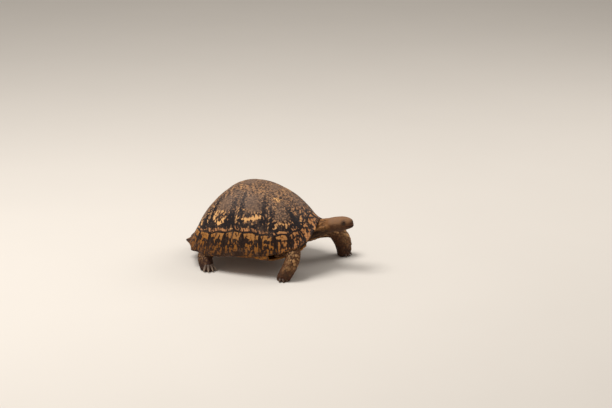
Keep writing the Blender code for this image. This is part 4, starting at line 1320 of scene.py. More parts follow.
def scale_roots(name, rng):
    """Staggered rows of root places on a leg, with jitter: shares along and round
    it, points, directions down the leg, normals, and a fade to the area's sides."""
    first, last, low, high, gap, _, _ = SCALE_AREAS[name]
    place = leg_surface(name)
    path = smooth_rows(LEGS[name], LEG_ROWS + 1)
    run = run_length(path[:, :3])
    shares = np.linspace(0, 1, LEG_ROWS + 1)
    u_rows = np.interp(np.arange(first * run[-1], last * run[-1] - 0.003, gap * 0.82),
                       run, shares)
    us, vs = [], []
    for row, u in enumerate(u_rows):
        girth = TAU * math.sqrt(np.interp(u, shares, path[:, 3])
                                * np.interp(u, shares, path[:, 4]))
        step = 360 * gap / girth
        v = np.arange(low + (row % 2) * step / 2, high, step)
        us.append(np.full(len(v), u))
        vs.append(np.radians(v))
    u, v = np.concatenate(us), np.concatenate(vs)
    u = u + rng.normal(0, 0.10, len(u)) * gap / run[-1]
    v = v + rng.normal(0, 0.10, len(v)) * gap / 0.019
    root = place(u, v)
    down = unit(place(u + 0.02, v) - place(u - 0.02, v))
    around = unit(place(u, v + 0.08) - place(u, v - 0.08))
    normal = unit(np.cross(down, around))
    middle = path[np.clip((u * LEG_ROWS).astype(int), 0, LEG_ROWS), :3]
    facing = ((root - middle) * normal).sum(1, keepdims=True)
    normal = np.where(facing > 0, normal, -normal)
    half = math.radians((high - low) / 2)
    fade = smoothstep(half, half * 0.45, np.abs(v - math.radians((low + high) / 2)))
    return u, v, root, down, normal, fade


def build_leg_scales(name, slot, leg, skin):
    """All the large scales of one leg as one mesh with its patch map."""
    rng = np.random.default_rng(100 + slot)
    gap, length, stout = SCALE_AREAS[name][4:]
    roots = scale_roots(name, rng)
    clear = roots[2][:, 2] > SCALES_FROM
    u, v, root, down, normal, fade = (a[clear] for a in roots)
    size = (0.55 + 0.45 * fade) * rng.uniform(0.70, 1.22, len(u))
    size *= 0.80 + 0.30 * smoothstep(0.3, 0.75, u)
    sizes = np.stack([length * size, gap * 0.62 * size, SCALE_THICK * stout * size], -1)
    lifts = SCALE_TIP_LIFT * leg.scale_lift * size * fade * stout
    spots = np.stack([(slot % 2) * 0.5 + 0.02 + (v / TAU % 1) * 0.45,
                      (slot // 2) * 0.5 + 0.02 + u * 0.45], -1)
    points, quads, tris, uv, tip = horn_scales(
        root - normal * SCALE_SUNK, down, normal, sizes * leg.scale_size, lifts, spots)
    points[:, 2] = np.maximum(points[:, 2], SCALE_CLEAR)
    share = leg.paleness * fade * rng.uniform(0.10, 1.0, len(root)) ** 1.3
    share = share[:, None] * smoothstep(0.016, 0.060, root[:, 2:3])
    tint = flesh_tint(root, skin) * (1 - share) + np.array(leg.scale_colour) * share
    tint = tint * rng.uniform(0.60, 1.25, len(root))[:, None]
    made = new_object(name.replace("leg", "scales"), points, quads, tris, {
        "tint": np.repeat(tint, len(points) // len(root), 0),
        "relief": np.stack([np.ones_like(tip), tip, np.zeros_like(tip)], -1)})
    add_patch_map(made.data, uv)
    return made


def add_patch_map(mesh, uv):
    """Map that gives each scale its own small patch."""
    corners = np.empty(len(mesh.loops), np.int32)
    mesh.loops.foreach_get("vertex_index", corners)
    layer = mesh.uv_layers.new(name="OFBake")
    layer.data.foreach_set("uv", uv[corners].astype(np.float32).ravel())


# ----------------------------------------------------------------- hard parts
CLAW_FORMS = {
    # height of the root, share of the claw length, share of the claw radius
    "leg_front": (0.0085, 0.95, 1.0),
    "leg_rear": (0.0190, 0.84, 0.80),
}
CLAW_SUNK = 0.0050
CLAW_TIP_BACK = 0.0052
CLAW_TIP_HEIGHT = 0.0016
CLAW_CLEAR = 0.0003


def claw_rings(base, tip, radius, seed):
    """A claw: flattened oval sections on a path that droops to its tip, with
    faint lengthwise ridges."""
    t = np.linspace(0, 1, 26)[:, None]
    path = base + (tip - base) * t + UP * 0.0022 * np.sin(t * math.pi) * (1 - 0.35 * t)
    ahead = unit(np.gradient(path, axis=0))
    across = unit(np.cross(UP, ahead))
    up = np.cross(ahead, across)
    turn = np.linspace(0, TAU, 28, endpoint=False)
    fat = radius * (1 - 0.62 * t ** 1.5) * np.clip(1.001 - t ** 9, 0, 1) ** 0.5
    girth = fat * (1 + 0.025 * np.sin(turn * 9 + seed) * np.sin(t * 3))
    return (path[:, None] + (girth * np.cos(turn) * 1.05)[..., None] * across[:, None]
            + (girth * np.sin(turn) * 0.80)[..., None] * up[:, None])


def build_claws(name, hard):
    """The row of claws round the front of one foot."""
    heading, spread, count = FEET[name]
    x, y, _, wide, deep = LEGS[name][-1]
    root, length, stout = CLAW_FORMS[name.rsplit("_", 1)[0]]
    bodies, shades = [], []
    for k in range(count):
        angle = math.radians(heading + spread * (k / (count - 1) - 0.5))
        off = angle - math.radians(heading)
        way = np.array([math.cos(angle), math.sin(angle), 0.0])
        rim = math.hypot(deep * math.cos(off), wide * math.sin(off))
        base = np.array([x, y, root]) + way * (rim - CLAW_SUNK)
        reach = rim - CLAW_TIP_BACK + hard.claw_length * length
        tip = np.array([x, y, CLAW_TIP_HEIGHT]) + way * reach
        rings = claw_rings(base, tip, hard.claw_radius * stout, 1.7 * k)
        bodies.append(outward(*capped(rings)))
        level = np.repeat(np.linspace(0, 1, rings.shape[0]), rings.shape[1])
        shades += [level, [0, 1]]
    points, quads, tris = merge(bodies)
    points[:, 2] = np.maximum(points[:, 2], CLAW_CLEAR)
    return new_object(name.replace("leg", "claws"), points, quads, tris,
                      {"shade": np.concatenate(shades)})


def head_reach(directions, start):
    """Distance along directions from a start inside the head to its surface,
    by bisection on the sum of powers that is 1 on the surface."""
    rows = smooth_rows(HEAD, 80)

    def outside(q):
        wide, high, low = (np.interp(q[..., 0], rows[:, 0], rows[:, k], right=1e-4)
                           for k in (1, 2, 3))
        tall = np.where(q[..., 2] > 0, high, low)
        total = (np.abs(q[..., 1] / wide) ** HEAD_POWER
                 + np.abs(q[..., 2] / tall) ** HEAD_POWER)
        return (total > 1) | (q[..., 0] > rows[-1, 0])

    near = np.zeros(directions.shape[:-1])
    far = np.full(directions.shape[:-1], 0.04)
    for _ in range(30):
        middle = (near + far) / 2
        out = outside(start + directions * middle[..., None])
        far = np.where(out, middle, far)
        near = np.where(out, near, middle)
    return near


def build_beak(name, upper, hard):
    """Horn sheath of one jaw.  Its outer face is the head's own surface, seen
    from a point inside it on the plane of the mouth and raised by the sheath's
    depth; it runs from the biting edge to its other border, turns under and
    comes back inside the head."""
    yaw = np.linspace(-1.0, 1.0, 141)
    b = np.linspace(0, 1, 30)[:, None]
    psi = yaw * BEAK_HALF_ANGLE
    lean = math.tan(MOUTH_TILT)
    start = np.array([BEAK_START, 0.0, MOUTH_HEIGHT + lean * (BEAK_BACK - BEAK_START)])
    ahead = unit(np.array([1.0, 0.0, -lean]))
    above = np.cross(ahead, np.array([0.0, 1.0, 0.0]))
    far = smoothstep(0.1, 1.0, np.abs(yaw))
    hook = 0.0016 * np.exp(-(psi / 0.16) ** 2)
    bite = 0.00025 * np.sin(np.abs(psi) * 30) * smoothstep(0.12, 0.3, np.abs(yaw))
    corner = 0.0004 * smoothstep(0.55, 1.0, np.abs(yaw))
    if upper:
        edge, border = -0.0006 - hook + bite + corner, 0.0052 - 0.0022 * far
    else:
        edge, border = -0.0009 - 0.9 * hook + corner, -0.0060 + 0.0026 * far
    tilt = np.arctan((edge * (1 - b) + border * b) / 0.0225)
    flat = np.cos(psi)[:, None] * ahead + np.sin(psi)[:, None] * np.array([0, 1.0, 0])
    way = np.cos(tilt)[..., None] * flat + np.sin(tilt)[..., None] * above
    reach = head_reach(way, start)
    lip = np.minimum(1, b * 10 + 0.35)
    fade = np.clip(np.minimum((1 - b) * 4.0, (1 - np.abs(yaw)) * 8), 0, 1)
    depth = hard.beak_depth if upper else hard.beak_depth * 0.45
    ripple = 0.00007 * np.sin(psi * 34 + 3 * b) * fade
    raised = reach + depth * np.sqrt(fade) * lip + ripple - 0.0002
    outer = start + way * raised[..., None]
    inner = start + way * (reach - 0.0022)[..., None]
    loop = np.concatenate([outer, inner[::-1]], 0).transpose(1, 0, 2)
    points, quads, tris = outward(*capped(from_head(loop)))
    level = np.concatenate([b[:, 0], b[::-1, 0]])
    shade = np.append(np.tile(level, len(yaw)), [0.5, 0.5])
    return new_object(name, points, quads, tris, {"shade": shade})


def build_eye(name, side):
    """Eyeball: rings about the gaze from the middle of the pupil to the back,
    with the clear front swelling a little."""
    centre, gaze, up, ahead = eye_frame(side)
    tilt = np.linspace(0.02, math.pi - 0.03, 48)[:, None]
    turn = np.linspace(0, TAU, 64, endpoint=False)[None]
    radius = EYE_RADIUS * (1 - 0.006 + 0.035 * np.exp(-(tilt / 0.55) ** 2))
    ball = (np.cos(tilt)[..., None] * gaze
            + (np.sin(tilt) * np.cos(turn))[..., None] * ahead
            + (np.sin(tilt) * np.sin(turn))[..., None] * up)
    points, quads, tris = outward(*capped(from_head(centre + ball * radius[..., None])))
    level = np.append(np.repeat(tilt[:, 0] / math.pi, 64), [0, 1])
    spin = np.append(np.tile(turn[0], 48), [0, 0])
    return new_object(name, points, quads, tris,
                      {"gaze": np.stack([level, np.cos(spin), np.sin(spin)], -1)})


# ---------------------------------------------------------------- materials
PUPIL_COLOUR = (0.004, 0.003, 0.003)
EYE_WHITE_COLOUR = (0.030, 0.020, 0.014)


class PlatePlaces:
    """What a plate's horn varies with: places on the plate and on the shell, the
    kind of plate, wear, and three grains of noise."""

    def __init__(self, g):
        self.turn_x, self.turn_y, self.share = g.parts("grow")
        self.along, self.across, self.rise = g.parts("spot")
        self.seed, self.wear, kind = g.parts("plate")
        self.seam, self.mark = g.number("seam"), g.number("mark")
        self.where = g.place()
        self.x, _, self.z = g.split(self.where)
        self.fleck = g.noise(self.where, 300.0, 2.0, 0.6)
        self.spot = g.noise(self.where, 205.0, 2.0, 0.55)
        self.patch = g.noise(self.where, 45.0, 3.0, 0.6)
        self.reach = (self.along * self.along + self.across * self.across) ** 0.5
        self.level = self.rise + (self.patch - 0.5) * 0.22
        self.on_rim = kind.step(1.4, 1.6)
        self.off_rim = 1.0 - self.on_rim
        self.on_side = kind.step(0.4, 0.6) * self.off_rim
        self.ahead = self.x.step(0.035, 0.085)
        self.foot = self.share.step(0.885, 0.915) * self.rise.step(-0.70, -0.82)
        self.flank = (self.along.abs().step(0.019, 0.028)
                      * self.level.step(-0.80, -0.60) * self.seam.step(0.003, 0.008))


def side_light(p):
    """Pale ring below a side plate's heart, dark band under it, dark flanks."""
    narrow = p.along.abs().step(0.034, 0.024)
    return (p.level.hump(-0.66, -0.30, 0.05) * narrow * 0.07
            - p.level.hump(-0.93, -0.72, 0.04) * 0.20 - p.flank * 0.22 - 0.035)


def rim_light(p):
    """Pale bar and dark arch of a rim plate, dark lines beside its seams and a
    dark line under its upper one."""
    bar = p.level.hump(0.62, 0.90, 0.04)
    arch = p.level.hump(0.44, 0.58, 0.04)
    beside = p.seam.hump(0.0016, 0.0050, 0.0008) * p.along.abs().step(0.006, 0.010)
    brow = p.seam.step(0.0048, 0.0032) * p.turn_y.step(0.25, 0.50)
    return bar * 0.14 - arch * 0.17 - beside * 0.55 - brow * 0.40


def horn_light(g, p):
    """Lightness of the horn, pale above 0 and dark below: dashes that run out from
    the heart, upright ticks on the rim, a zigzag at a side plate's foot, and the
    marks of each kind of plate."""
    dash = g.noise(g.vector(p.turn_x * 9.0 + p.seed, p.turn_y * 9.0 + p.seed,
                            p.reach * 95.0), 1.0, 1.5, 0.5)
    zigzag = g.noise(g.vector(p.along * 215.0 + p.across * 70.0, p.across * 50.0,
                              p.seed), 1.0, 1.0, 0.5)
    ticks = g.noise(g.vector(p.along * 160.0, p.across * 75.0, p.seed), 1.0, 1.5, 0.5)
    far = p.reach.step(0.010, 0.030)
    speckle = (dash - 0.5) * 1.5 * far + (p.spot - 0.5) * (2.0 - far * 1.2)
    rim_speckle = (ticks - 0.5) * 1.5 + (p.spot - 0.5) * 0.7
    lip = p.on_rim * p.rise.step(-0.60, -0.85) * p.x.step(0.055, 0.100)
    beside_seam = p.off_rim * p.seam.hump(0.0012, 0.0055, 0.0010)
    return (p.off_rim * (1.0 - p.foot * p.on_side) * speckle + p.on_rim * rim_speckle
            + p.foot * p.on_side * ((zigzag - 0.50) * 2.2 + 0.045)
            + (p.fleck - 0.5) * 0.35 + p.mark * 0.24
            + p.on_side * (1.0 - p.foot) * side_light(p) + p.on_rim * rim_light(p)
            + p.ahead * (p.on_rim * 0.075 - p.off_rim * 0.045) + lip * 0.14
            + p.on_rim * p.x.step(-0.12, -0.16) * 0.055
            + beside_seam * p.fleck.step(0.50, 0.60) * 0.13 - 0.010)


def horn_pattern(g, p, shell, light):
    """Colour of unworn horn, with the dark marks and without them.  Lower on the
    shell it is warmer and darker: partly dust, partly painted shade and painted
    orange bounce light.
    """
    bright = light.step(0.020, 0.120)
    ring = (p.share * (shell.ring_count * TAU) + p.patch * 2.2).sin() * 0.5 + 0.5
    # lower on the shell the colours are warmer, more saturated and darker: partly dust,
    # partly painted shade and painted orange bounce light from the ground
    high = p.z.step(0.075, 0.125) * (1.0 - p.on_rim * 0.75)
    # low rim plates away from the front go darker brown: partly dust, partly painted
    # shade
    low = p.z.step(0.090, 0.056) * p.x.step(0.10, 0.04)
    tan = g.mix(high, shell.ochre_colour, shell.horn_colour)
    tan = g.mix(p.x.step(0.045, 0.105) * 0.55, tan, shell.rose_colour)
    # painted highlight: the brightest dashes high on the shell, in unworn horn, go pale
    glint = (light.step(0.13, 0.24) * p.z.step(0.075, 0.115) * (1.0 - p.wear)
             * (1.0 - p.on_rim * 0.7))
    pale = ((p.mark * 1.6).clamp() * bright + glint * 0.75).clamp()
    tan = g.mix(pale, tan, shell.pale_colour)
    tan = g.mix(p.foot * p.on_side * 0.7, tan, shell.rose_colour)
    middle_brown = g.mix(high, shell.dust_and_shade_colour, shell.brown_colour)
    horn = g.mix(bright, middle_brown, tan)
    horn = g.mix(low * p.on_rim * 0.55 + ring * 0.08, horn, shell.dust_and_shade_colour)
    # dark marks low on the shell are warmer: painted orange bounce light
    ink = g.mix(high, shell.low_dark_colour, shell.dark_colour)
    ink = g.mix(p.fleck.step(0.45, 0.80) * 0.25 + low * 0.20, ink, shell.dust_and_shade_colour)
    return g.mix(light.step(-0.060, 0.010), ink, horn), horn


def worn_horn(g, p, shell, light, horn):
    """Colour of worn horn, mottled grey brown, and how bare a place is."""
    heart = (p.share.step(0.42, 0.30) * p.off_rim
             * (1.0 - p.x.step(0.020, 0.050) * 0.7))
    grain = (p.spot * 0.6 + p.fleck * 0.4).step(0.38, 0.60)
    worn = g.mix(grain * (1.0 - heart * 0.5) + heart * 0.22, shell.worn_dark_colour,
                 shell.worn_colour)
    worn = g.mix(light.step(-0.060, 0.010) * 0.22 * (1.0 - heart), worn, horn)
    bare = (p.wear * 0.95 + heart * 0.85 * p.z.step(0.09, 0.14)
            - p.flank * p.on_side * 0.45 - p.ahead * 0.15 - p.mark.clamp() * 1.2)
    return worn, (bare + (p.patch - 0.5) * 1.2 + (p.spot - 0.5) * 0.6).clamp() * 0.88


def carapace_material(shell):
    """Tan and brown horn broken up by dark dashes, worn bare on the crown and in
    the hearts of the plates, with dark seams and fine growth lines."""
    g = Graph("carapace_horn", 0.56, 0.22)
    p = PlatePlaces(g)
    light = horn_light(g, p)
    pattern, horn = horn_pattern(g, p, shell, light)
    worn, bare = worn_horn(g, p, shell, light, horn)
    colour = g.mix(bare, pattern, worn)
    colour = g.mix(p.seam.step(0.0007, 0.0001) * 0.55, colour, shell.dark_colour)
    g.set("Base Color", colour)
    g.set("Roughness", 0.46 + 0.16 * p.patch + 0.10 * p.wear)
    fine = g.noise(p.where, 900.0, 2.0, 0.6)
    lines = (p.share * (shell.ring_count * TAU * 3.0) + p.patch * 5.0).sin()
    g.bump(fine * 0.7 + lines * 0.16 * (1.0 - p.wear) + p.fleck * 0.5, 0.00028, 0.6)
    return g.material


def plastron_material(shell):
    """Yellow-brown belly horn with dark rays near its outer edges."""
    g = Graph("plastron_horn", 0.5, 0.3)
    turn_x, turn_y, share = g.parts("grow")
    seed, _, _ = g.parts("plate")
    where = g.place()
    rays = g.noise(g.vector(turn_x * 5.0 + seed, turn_y * 5.0, share * 2.5), 1.0, 2.0,
                   0.6)
    fleck = g.noise(where, 220.0, 3.0, 0.6)
    dark = (rays + fleck * 0.5 - 0.80 + share * 0.05).step(-0.04, 0.08)
    dark = dark * share.step(1.0, 0.93)
    base = g.mix(fleck.step(0.3, 0.7), shell.belly_colour, shell.ochre_colour)
    g.set("Base Color", g.mix(dark * 0.85, base, shell.dark_colour))
    fine = g.noise(where, 800.0, 2.0, 0.6)
    lines = (share * (shell.ring_count * TAU * 2.0)).sin()
    g.bump(fine * 0.6 + lines * 0.2, 0.00025, 0.6)
    return g.material


def skin_material(name, skin, large_scales):
    """Tinted skin: pale scale tops and dust, fine granules, painted shade in the
    creases, between the granules and in the fold troughs, and painted highlights on
    the fold crests.  On the large scales, painted shade at the roots and dark
    streaks instead of creases and granules."""
    g = Graph(name, 0.68, 0.28)
    tint = g.attribute("tint", "Vector")
    edge, roll, head = g.parts("relief")
    _, level, _ = g.split(tint)
    lit = (level * 14.0 + 0.12).clamp()
    where = g.place()
    mottle = g.noise(where, 140.0, 3.0, 0.6)
    fine = g.noise(where, 700.0, 2.0, 0.6)
    light = g.mix(mottle.step(0.35, 0.75) * 0.45 * lit, tint, skin.pale_colour)
    # dark for the painted shade, and for the real dark streaks on the large scales
    dark = g.mix(0.72, tint, skin.shade_and_streak_colour)
    if large_scales:
        # painted shade: each large scale darker towards its root, where it lies under
        # the scale above
        colour = g.mix(roll.step(0.55, 0.0) * 0.55, light, dark)
        streak = g.noise(where, 420.0, 3.0, 0.65)
        colour = g.mix(streak.step(0.55, 0.75) * 0.35, colour, dark)
        bump = streak * 0.8 + fine * 0.5
    else:
        granule = g.pebbles(where, 620.0)
        seamed = granule.step(0.10, 0.0)
        # painted shade in the creases, between the granules and in the troughs of the
        # folds
        crease = (edge.step(0.22, 0.02) * 0.85 + seamed * 0.25 * (1.0 - head * 0.5)
                  + (0.5 - roll * 0.5) * 0.25).clamp()
        # painted highlight on the crests of the folds
        light = g.mix(roll.step(0.60, 1.0) * 0.40 * lit, light, skin.fold_highlight_colour)
        colour = g.mix(crease, light, dark)
        bump = granule.step(0.0, 0.30) * 0.9 + fine * 0.4
    g.set("Base Color", colour)
    g.set("Roughness", 0.60 + 0.18 * mottle)
    g.bump(bump, 0.00030, 0.7)
    return g.material


def horn_material(name, root_colour, tip_colour, rough=0.42, shine=0.4):
    """Streaked horn that shades from its root to its tip."""
    g = Graph(name, rough, shine)
    along = g.number("shade")
    streak = g.noise(g.place(), 480.0, 3.0, 0.65)
    colour = g.mix(along.step(0.15, 0.95), root_colour, tip_colour)
    colour = g.mix(streak.step(0.50, 0.72) * 0.45, colour, root_colour)
    g.set("Base Color", colour)
    g.set("Roughness", rough - 0.04 + 0.20 * streak)
    g.bump(streak, 0.00018, 0.6)
    return g.material


def eye_material(hard):
    """Black pupil, brown rayed iris, dark white; wet gloss."""
    g = Graph("eye_wet", 0.14, 0.25)
    level, cx, cy = g.parts("gaze")
    spokes = g.noise(g.vector(cx * 7.0, cy * 7.0, level * 3.0), 1.0, 2.0, 0.6)
    iris = g.mix(spokes.step(0.35, 0.7), hard.iris_colour,
                 [0.35 * c for c in hard.iris_colour])
    colour = g.mix(level.step(0.105, 0.125), PUPIL_COLOUR, iris)
    colour = g.mix(level.step(0.215, 0.240), colour, EYE_WHITE_COLOUR)
    g.set("Base Color", colour)
    g.set("Coat Weight", 0.10)
    g.set("Coat Roughness", 0.03)
    return g.material


def floor_material(stage):
    """Plain pale matt floor."""
    g = Graph("floor_plain", 0.9, 0.1)
    shade = g.noise(g.place(), 3.0, 2.0, 0.5)
    low = [0.97 * c for c in stage.floor_colour]
    g.set("Base Color", g.mix(shade, low, stage.floor_colour))
    return g.material


# ----------------------------------------------------------------- settings
def linear(level):
    """Linear strength of a display level from 0 to 255."""
    v = level / 255.0
    return v / 12.92 if v <= 0.04045 else ((v + 0.055) / 1.055) ** 2.4


def colour_property(title, about, *display):
    return bpy.props.FloatVectorProperty(name=title, description=about, size=3, min=0,
                                         max=1, subtype="COLOR",
                                         default=[linear(level) for level in display])


def length_property(title, about, value, low, high):
    return bpy.props.FloatProperty(name=title, description=about, default=value,
                                   min=low, max=high, unit="LENGTH", precision=5)


def share_property(title, about, value, low=0.0, high=2.0):
    return bpy.props.FloatProperty(name=title, description=about, default=value,
                                   min=low, max=high, subtype="FACTOR")


class TortoiseShellSettings(bpy.types.PropertyGroup):
    """Sizes and colours of the horn plates."""
    seam: length_property("Seam", "Gap between two plates", 0.00012, 0, 0.001)
    relief: length_property("Ring relief", "Height of a growth ring", 0.00036, 0, 0.002)
    lobe: length_property("Rear lobes", "How far the rear lobes jut", 0.0064, 0, 0.01)
    scallop: length_property("Scallop", "How far the rim's corners jut", 0.0034, 0, 0.02)
    ring_count: bpy.props.FloatProperty(name="Rings", default=15.0, min=4, max=40,
                                        description="Growth rings on a large plate")
    horn_colour: colour_property("Horn", "Light horn high on the shell", 168, 122, 80)
    # placed low on the upper shell, its warmth is partly painted orange bounce light
    ochre_colour: colour_property("Ochre", "Light horn near the rim", 148, 92, 22)
    rose_colour: colour_property("Rose", "Light horn ahead and at seams", 172, 112, 70)
    pale_colour: colour_property("Pale", "Palest dashes", 224, 170, 108)
    # dust in the growth rings; low on the shell also partly painted shade and painted
    # orange bounce light
    brown_colour: colour_property("Brown", "Middle brown high on the shell", 106, 72, 47)
    dust_and_shade_colour: colour_property("Rings tint", "Horn in the grooves", 84, 48, 18)
    dark_colour: colour_property("Marks", "Dark rays and dashes", 26, 19, 20)
    # its warmth is painted orange bounce light
    low_dark_colour: colour_property("Low marks", "Dark marks near the rim", 31, 14, 5)
    worn_colour: colour_property("Worn", "Worn horn on the crown", 134, 106, 84)
    worn_dark_colour: colour_property("Worn dark", "Worn horn, dark part", 70, 52, 44)
    belly_colour: colour_property("Belly", "Light horn of the belly", 156, 98, 26)


class TortoiseSkinSettings(bpy.types.PropertyGroup):
    """Sizes and colours of the skin."""
    voxel: length_property("Grain", "Spacing of the skin's mesh", 0.00178, 0.001, 0.01)
    inset: length_property("Inset", "Depth of the skin in the solids", 0.0005, 0, 0.003)
    scale_size: length_property("Scale size", "Across a leg scale", 0.0062, 0.002, 0.02)
    scale_height: share_property("Scale height", "Height of the scales", 1.0)
    fold_depth: length_property("Fold depth", "Depth of a neck fold", 0.0023, 0, 0.005)
    lid_thickness: length_property("Eyelid", "Lid over the eyeball", 0.0012, 0, 0.003)
    eye_opening_width: share_property("Eye width", "Half angle of the opening", 0.88)
    eye_opening_height: share_property("Eye height", "Half angle of the opening", 0.62)
    neck_colour: colour_property("Neck", "Skin of the neck and tail", 124, 78, 36)
    foreleg_colour: colour_property("Forelegs", "Skin of the forelegs", 88, 51, 24)
    hindleg_colour: colour_property("Hind legs", "Skin of the hind legs", 74, 40, 20)
    head_top_colour: colour_property("Crown", "Top of the head", 136, 98, 68)
    head_side_colour: colour_property("Face", "Sides of the head", 84, 50, 25)
    pale_colour: colour_property("Pale", "Pale scale tops and dust", 150, 106, 64)
    # colour of the painted highlights on the crests of the folds
    fold_highlight_colour: colour_property("Folds", "Crests of the neck's folds", 178, 126, 74)
    # colour of the painted shade in creases, and of the dark streaks on the large scales
    shade_and_streak_colour: colour_property("Creases", "Dark of the creases", 30, 16, 8)


class TortoiseLegScaleSettings(bpy.types.PropertyGroup):
    """Large overlapping scales of the legs."""
    scale_size: share_property("Size", "Size of the large scales", 1.0)
    scale_lift: share_property("Lift", "How far the tips stand off", 1.0)
    paleness: share_property("Paleness", "Share of pale horn", 0.80, 0.0, 1.0)
    scale_colour: colour_property("Horn", "Pale horn of the scales", 186, 142, 92)


class TortoiseHardSettings(bpy.types.PropertyGroup):
    """Claws, beak and eyes."""
    claw_length: length_property("Claw", "Length of a claw", 0.0137, 0.004, 0.03)
    claw_radius: length_property("Claw radius", "Half width of a claw", 0.0045,
                                 0.001, 0.01)
    beak_depth: length_property("Beak", "Depth of the horn sheath", 0.0006, 0, 0.003)
    foreclaw_root_colour: colour_property("Fore claw", "Horn at the root", 40, 26, 18)
    foreclaw_tip_colour: colour_property("Fore claw tip", "Horn at the tip", 88, 64, 46)
    hindclaw_root_colour: colour_property("Hind claw", "Horn at the root", 84, 66, 54)
    hindclaw_tip_colour: colour_property("Hind claw tip", "Horn at the tip", 152, 132,
                                         114)
    beak_colour: colour_property("Beak", "Horn of the jaws", 92, 52, 24)
    beak_edge_colour: colour_property("Beak edge", "Biting edge", 46, 29, 18)
    iris_colour: colour_property("Iris", "Brown of the eye", 78, 46, 24)


class TortoiseStageSettings(bpy.types.PropertyGroup):
    """Floor, light and camera."""
    floor_colour: colour_property("Floor", "Pale floor", 214, 206, 196)
    key_power: bpy.props.FloatProperty(name="Key light", default=88.0, min=0,
                                       unit="POWER",
                                       description="Power of the large soft light")
    sky: bpy.props.FloatProperty(name="Sky", default=0.42, min=0, max=5,
                                 description="Strength of the even light all round")
    distance: length_property("Camera distance", "From the shell's middle", 4.6, 1, 20)
    azimuth: bpy.props.FloatProperty(name="Azimuth", default=math.radians(22),
                                     subtype="ANGLE", description="Camera heading")
    elevation: bpy.props.FloatProperty(name="Elevation", default=math.radians(20),
                                       subtype="ANGLE", description="Camera height")


# ---------------------------------------------------------------- operators
LARGE = {"around": 200, "rings": 72, "thick": 0.0040, "edge": 0.0006,
         "boss": 0.0012, "count": 15}
RIM = {"around": 112, "rings": 42, "thick": 0.0040, "edge": 0.0006,
       "boss": 0.0007, "count": 9}
BELLY = {"around": 112, "rings": 36, "thick": 0.0045, "edge": 0.0006,
         "boss": 0.0004, "count": 12}
PALE_RINGS = {
    # middle, half width and half height, strength of the corner blot
    1: (-0.007, -0.038, 0.013, 0.011, 1.0), 2: (-0.018, -0.037, 0.034, 0.013, 0.0),
    3: (0.0, -0.047, 0.0145, 0.016, 0.0), 4: (0.004, -0.036, 0.012, 0.012, 0.0)}
SIDES = ((1, "left"), (-1, "right"))
MIDLINE_GAP = 0.00008


def rim_heart(number, side):
    """Heart of a rim plate, low and a little behind its middle."""
    index = (number - 1) * RING_SEGMENTS + 2.5
    phi = float(np.interp(index, np.arange(LAST + 1), RING))
    return to_disc(side * phi, 0.065)


def carapace_plates():
    """Each upper plate's name, outline, heart, kind, seed, form and pale ring."""
    plates = [("vertebral_%d" % n, vertebral_outline(n),
               plan_to_disc(*HEARTS["vertebral"][n]), CROWN_ROW, n, LARGE, None)
              for n in range(1, 6)]
    for side, word in SIDES:
        plates += [("costal_%s_%d" % (word, n), costal_outline(n, side),
                    plan_to_disc(x, side * y), SIDE_ROW, 10 + n + side * 4, LARGE,
                    PALE_RINGS[n])
                   for n, (x, y) in HEARTS["costal"].items()]
        plates += [("marginal_%s_%d" % (word, n), marginal_outline(n, side),
                    rim_heart(n, side), RIM_ROW, 40 + n + side * 11, RIM, None)
                   for n in range(1, 12)]
    return plates + [("supracaudal", supracaudal_outline(), to_disc(math.pi, 0.07),
                      RIM_ROW, 70, RIM, None)]


class TORTOISE_OT_carapace(bpy.types.Operator):
    """Horn plates of the upper shell"""
    bl_idname = "tortoise.carapace"
    bl_label = "Carapace"

    def execute(self, context):
        shell = context.scene.tortoise_shell
        look = carapace_material(shell)
        for name, outline, heart, kind, seed, form, ring in carapace_plates():
            made = build_plate("plate_" + name, outline, heart, disc_point, disc_normal,
                               kind, seed, form, shell, ring)
            settle(made, look, "shell_horn", name)
        return {"FINISHED"}


class TORTOISE_OT_belly(bpy.types.Operator):
    """Horn plates of the belly"""
    bl_idname = "tortoise.belly"
    bl_label = "Belly plates"

    def execute(self, context):
        shell = context.scene.tortoise_shell
        look = plastron_material(shell)
        for number, (plate, (plan, heart)) in enumerate(belly_outlines().items()):
            for side, word in SIDES:
                name = "%s_%s" % (plate, word)
                outline = [(x, side * max(y, MIDLINE_GAP)) for x, y in plan][::side]
                made = build_plate("plate_" + name, outline, (heart[0], side * heart[1]),
                                   belly_point, belly_normal, BELLY_ROW,
                                   80 + number * 2 + side, BELLY, shell)
                settle(made, look, "plastron_horn", name)
        return {"FINISHED"}


class TORTOISE_OT_skin(bpy.types.Operator):
    """One skin over head, neck, trunk, legs and tail"""
    bl_idname = "tortoise.skin"
    bl_label = "Skin"

    def execute(self, context):
        skin = context.scene.tortoise_skin
        look = skin_material("skin_scaly", skin, False)
        settle(build_flesh(skin), look, "skin", "head", "neck", "trunk", "tail", *LEGS)
        return {"FINISHED"}


class TORTOISE_OT_leg_scales(bpy.types.Operator):
    """Large overlapping scales of the four legs"""
    bl_idname = "tortoise.leg_scales"
    bl_label = "Leg scales"

    def execute(self, context):
        look = skin_material("leg_scale_horn", context.scene.tortoise_skin, True)
        for number, name in enumerate(LEGS):
            made = build_leg_scales(name, number, context.scene.tortoise_leg_scales,
                                    context.scene.tortoise_skin)
            settle(made, look, "skin")
        return {"FINISHED"}


class TORTOISE_OT_claws(bpy.types.Operator):
    """Claws of the four feet"""
    bl_idname = "tortoise.claws"
    bl_label = "Claws"

    def execute(self, context):
        hard = context.scene.tortoise_hard
        fore = horn_material("foreclaw_horn", hard.foreclaw_root_colour,
                             hard.foreclaw_tip_colour)
        hind = horn_material("hindclaw_horn", hard.hindclaw_root_colour,
                             hard.hindclaw_tip_colour)
        for name in LEGS:
            look = fore if name.startswith("leg_front") else hind
            settle(build_claws(name, hard), look, "beak_horn")
        return {"FINISHED"}


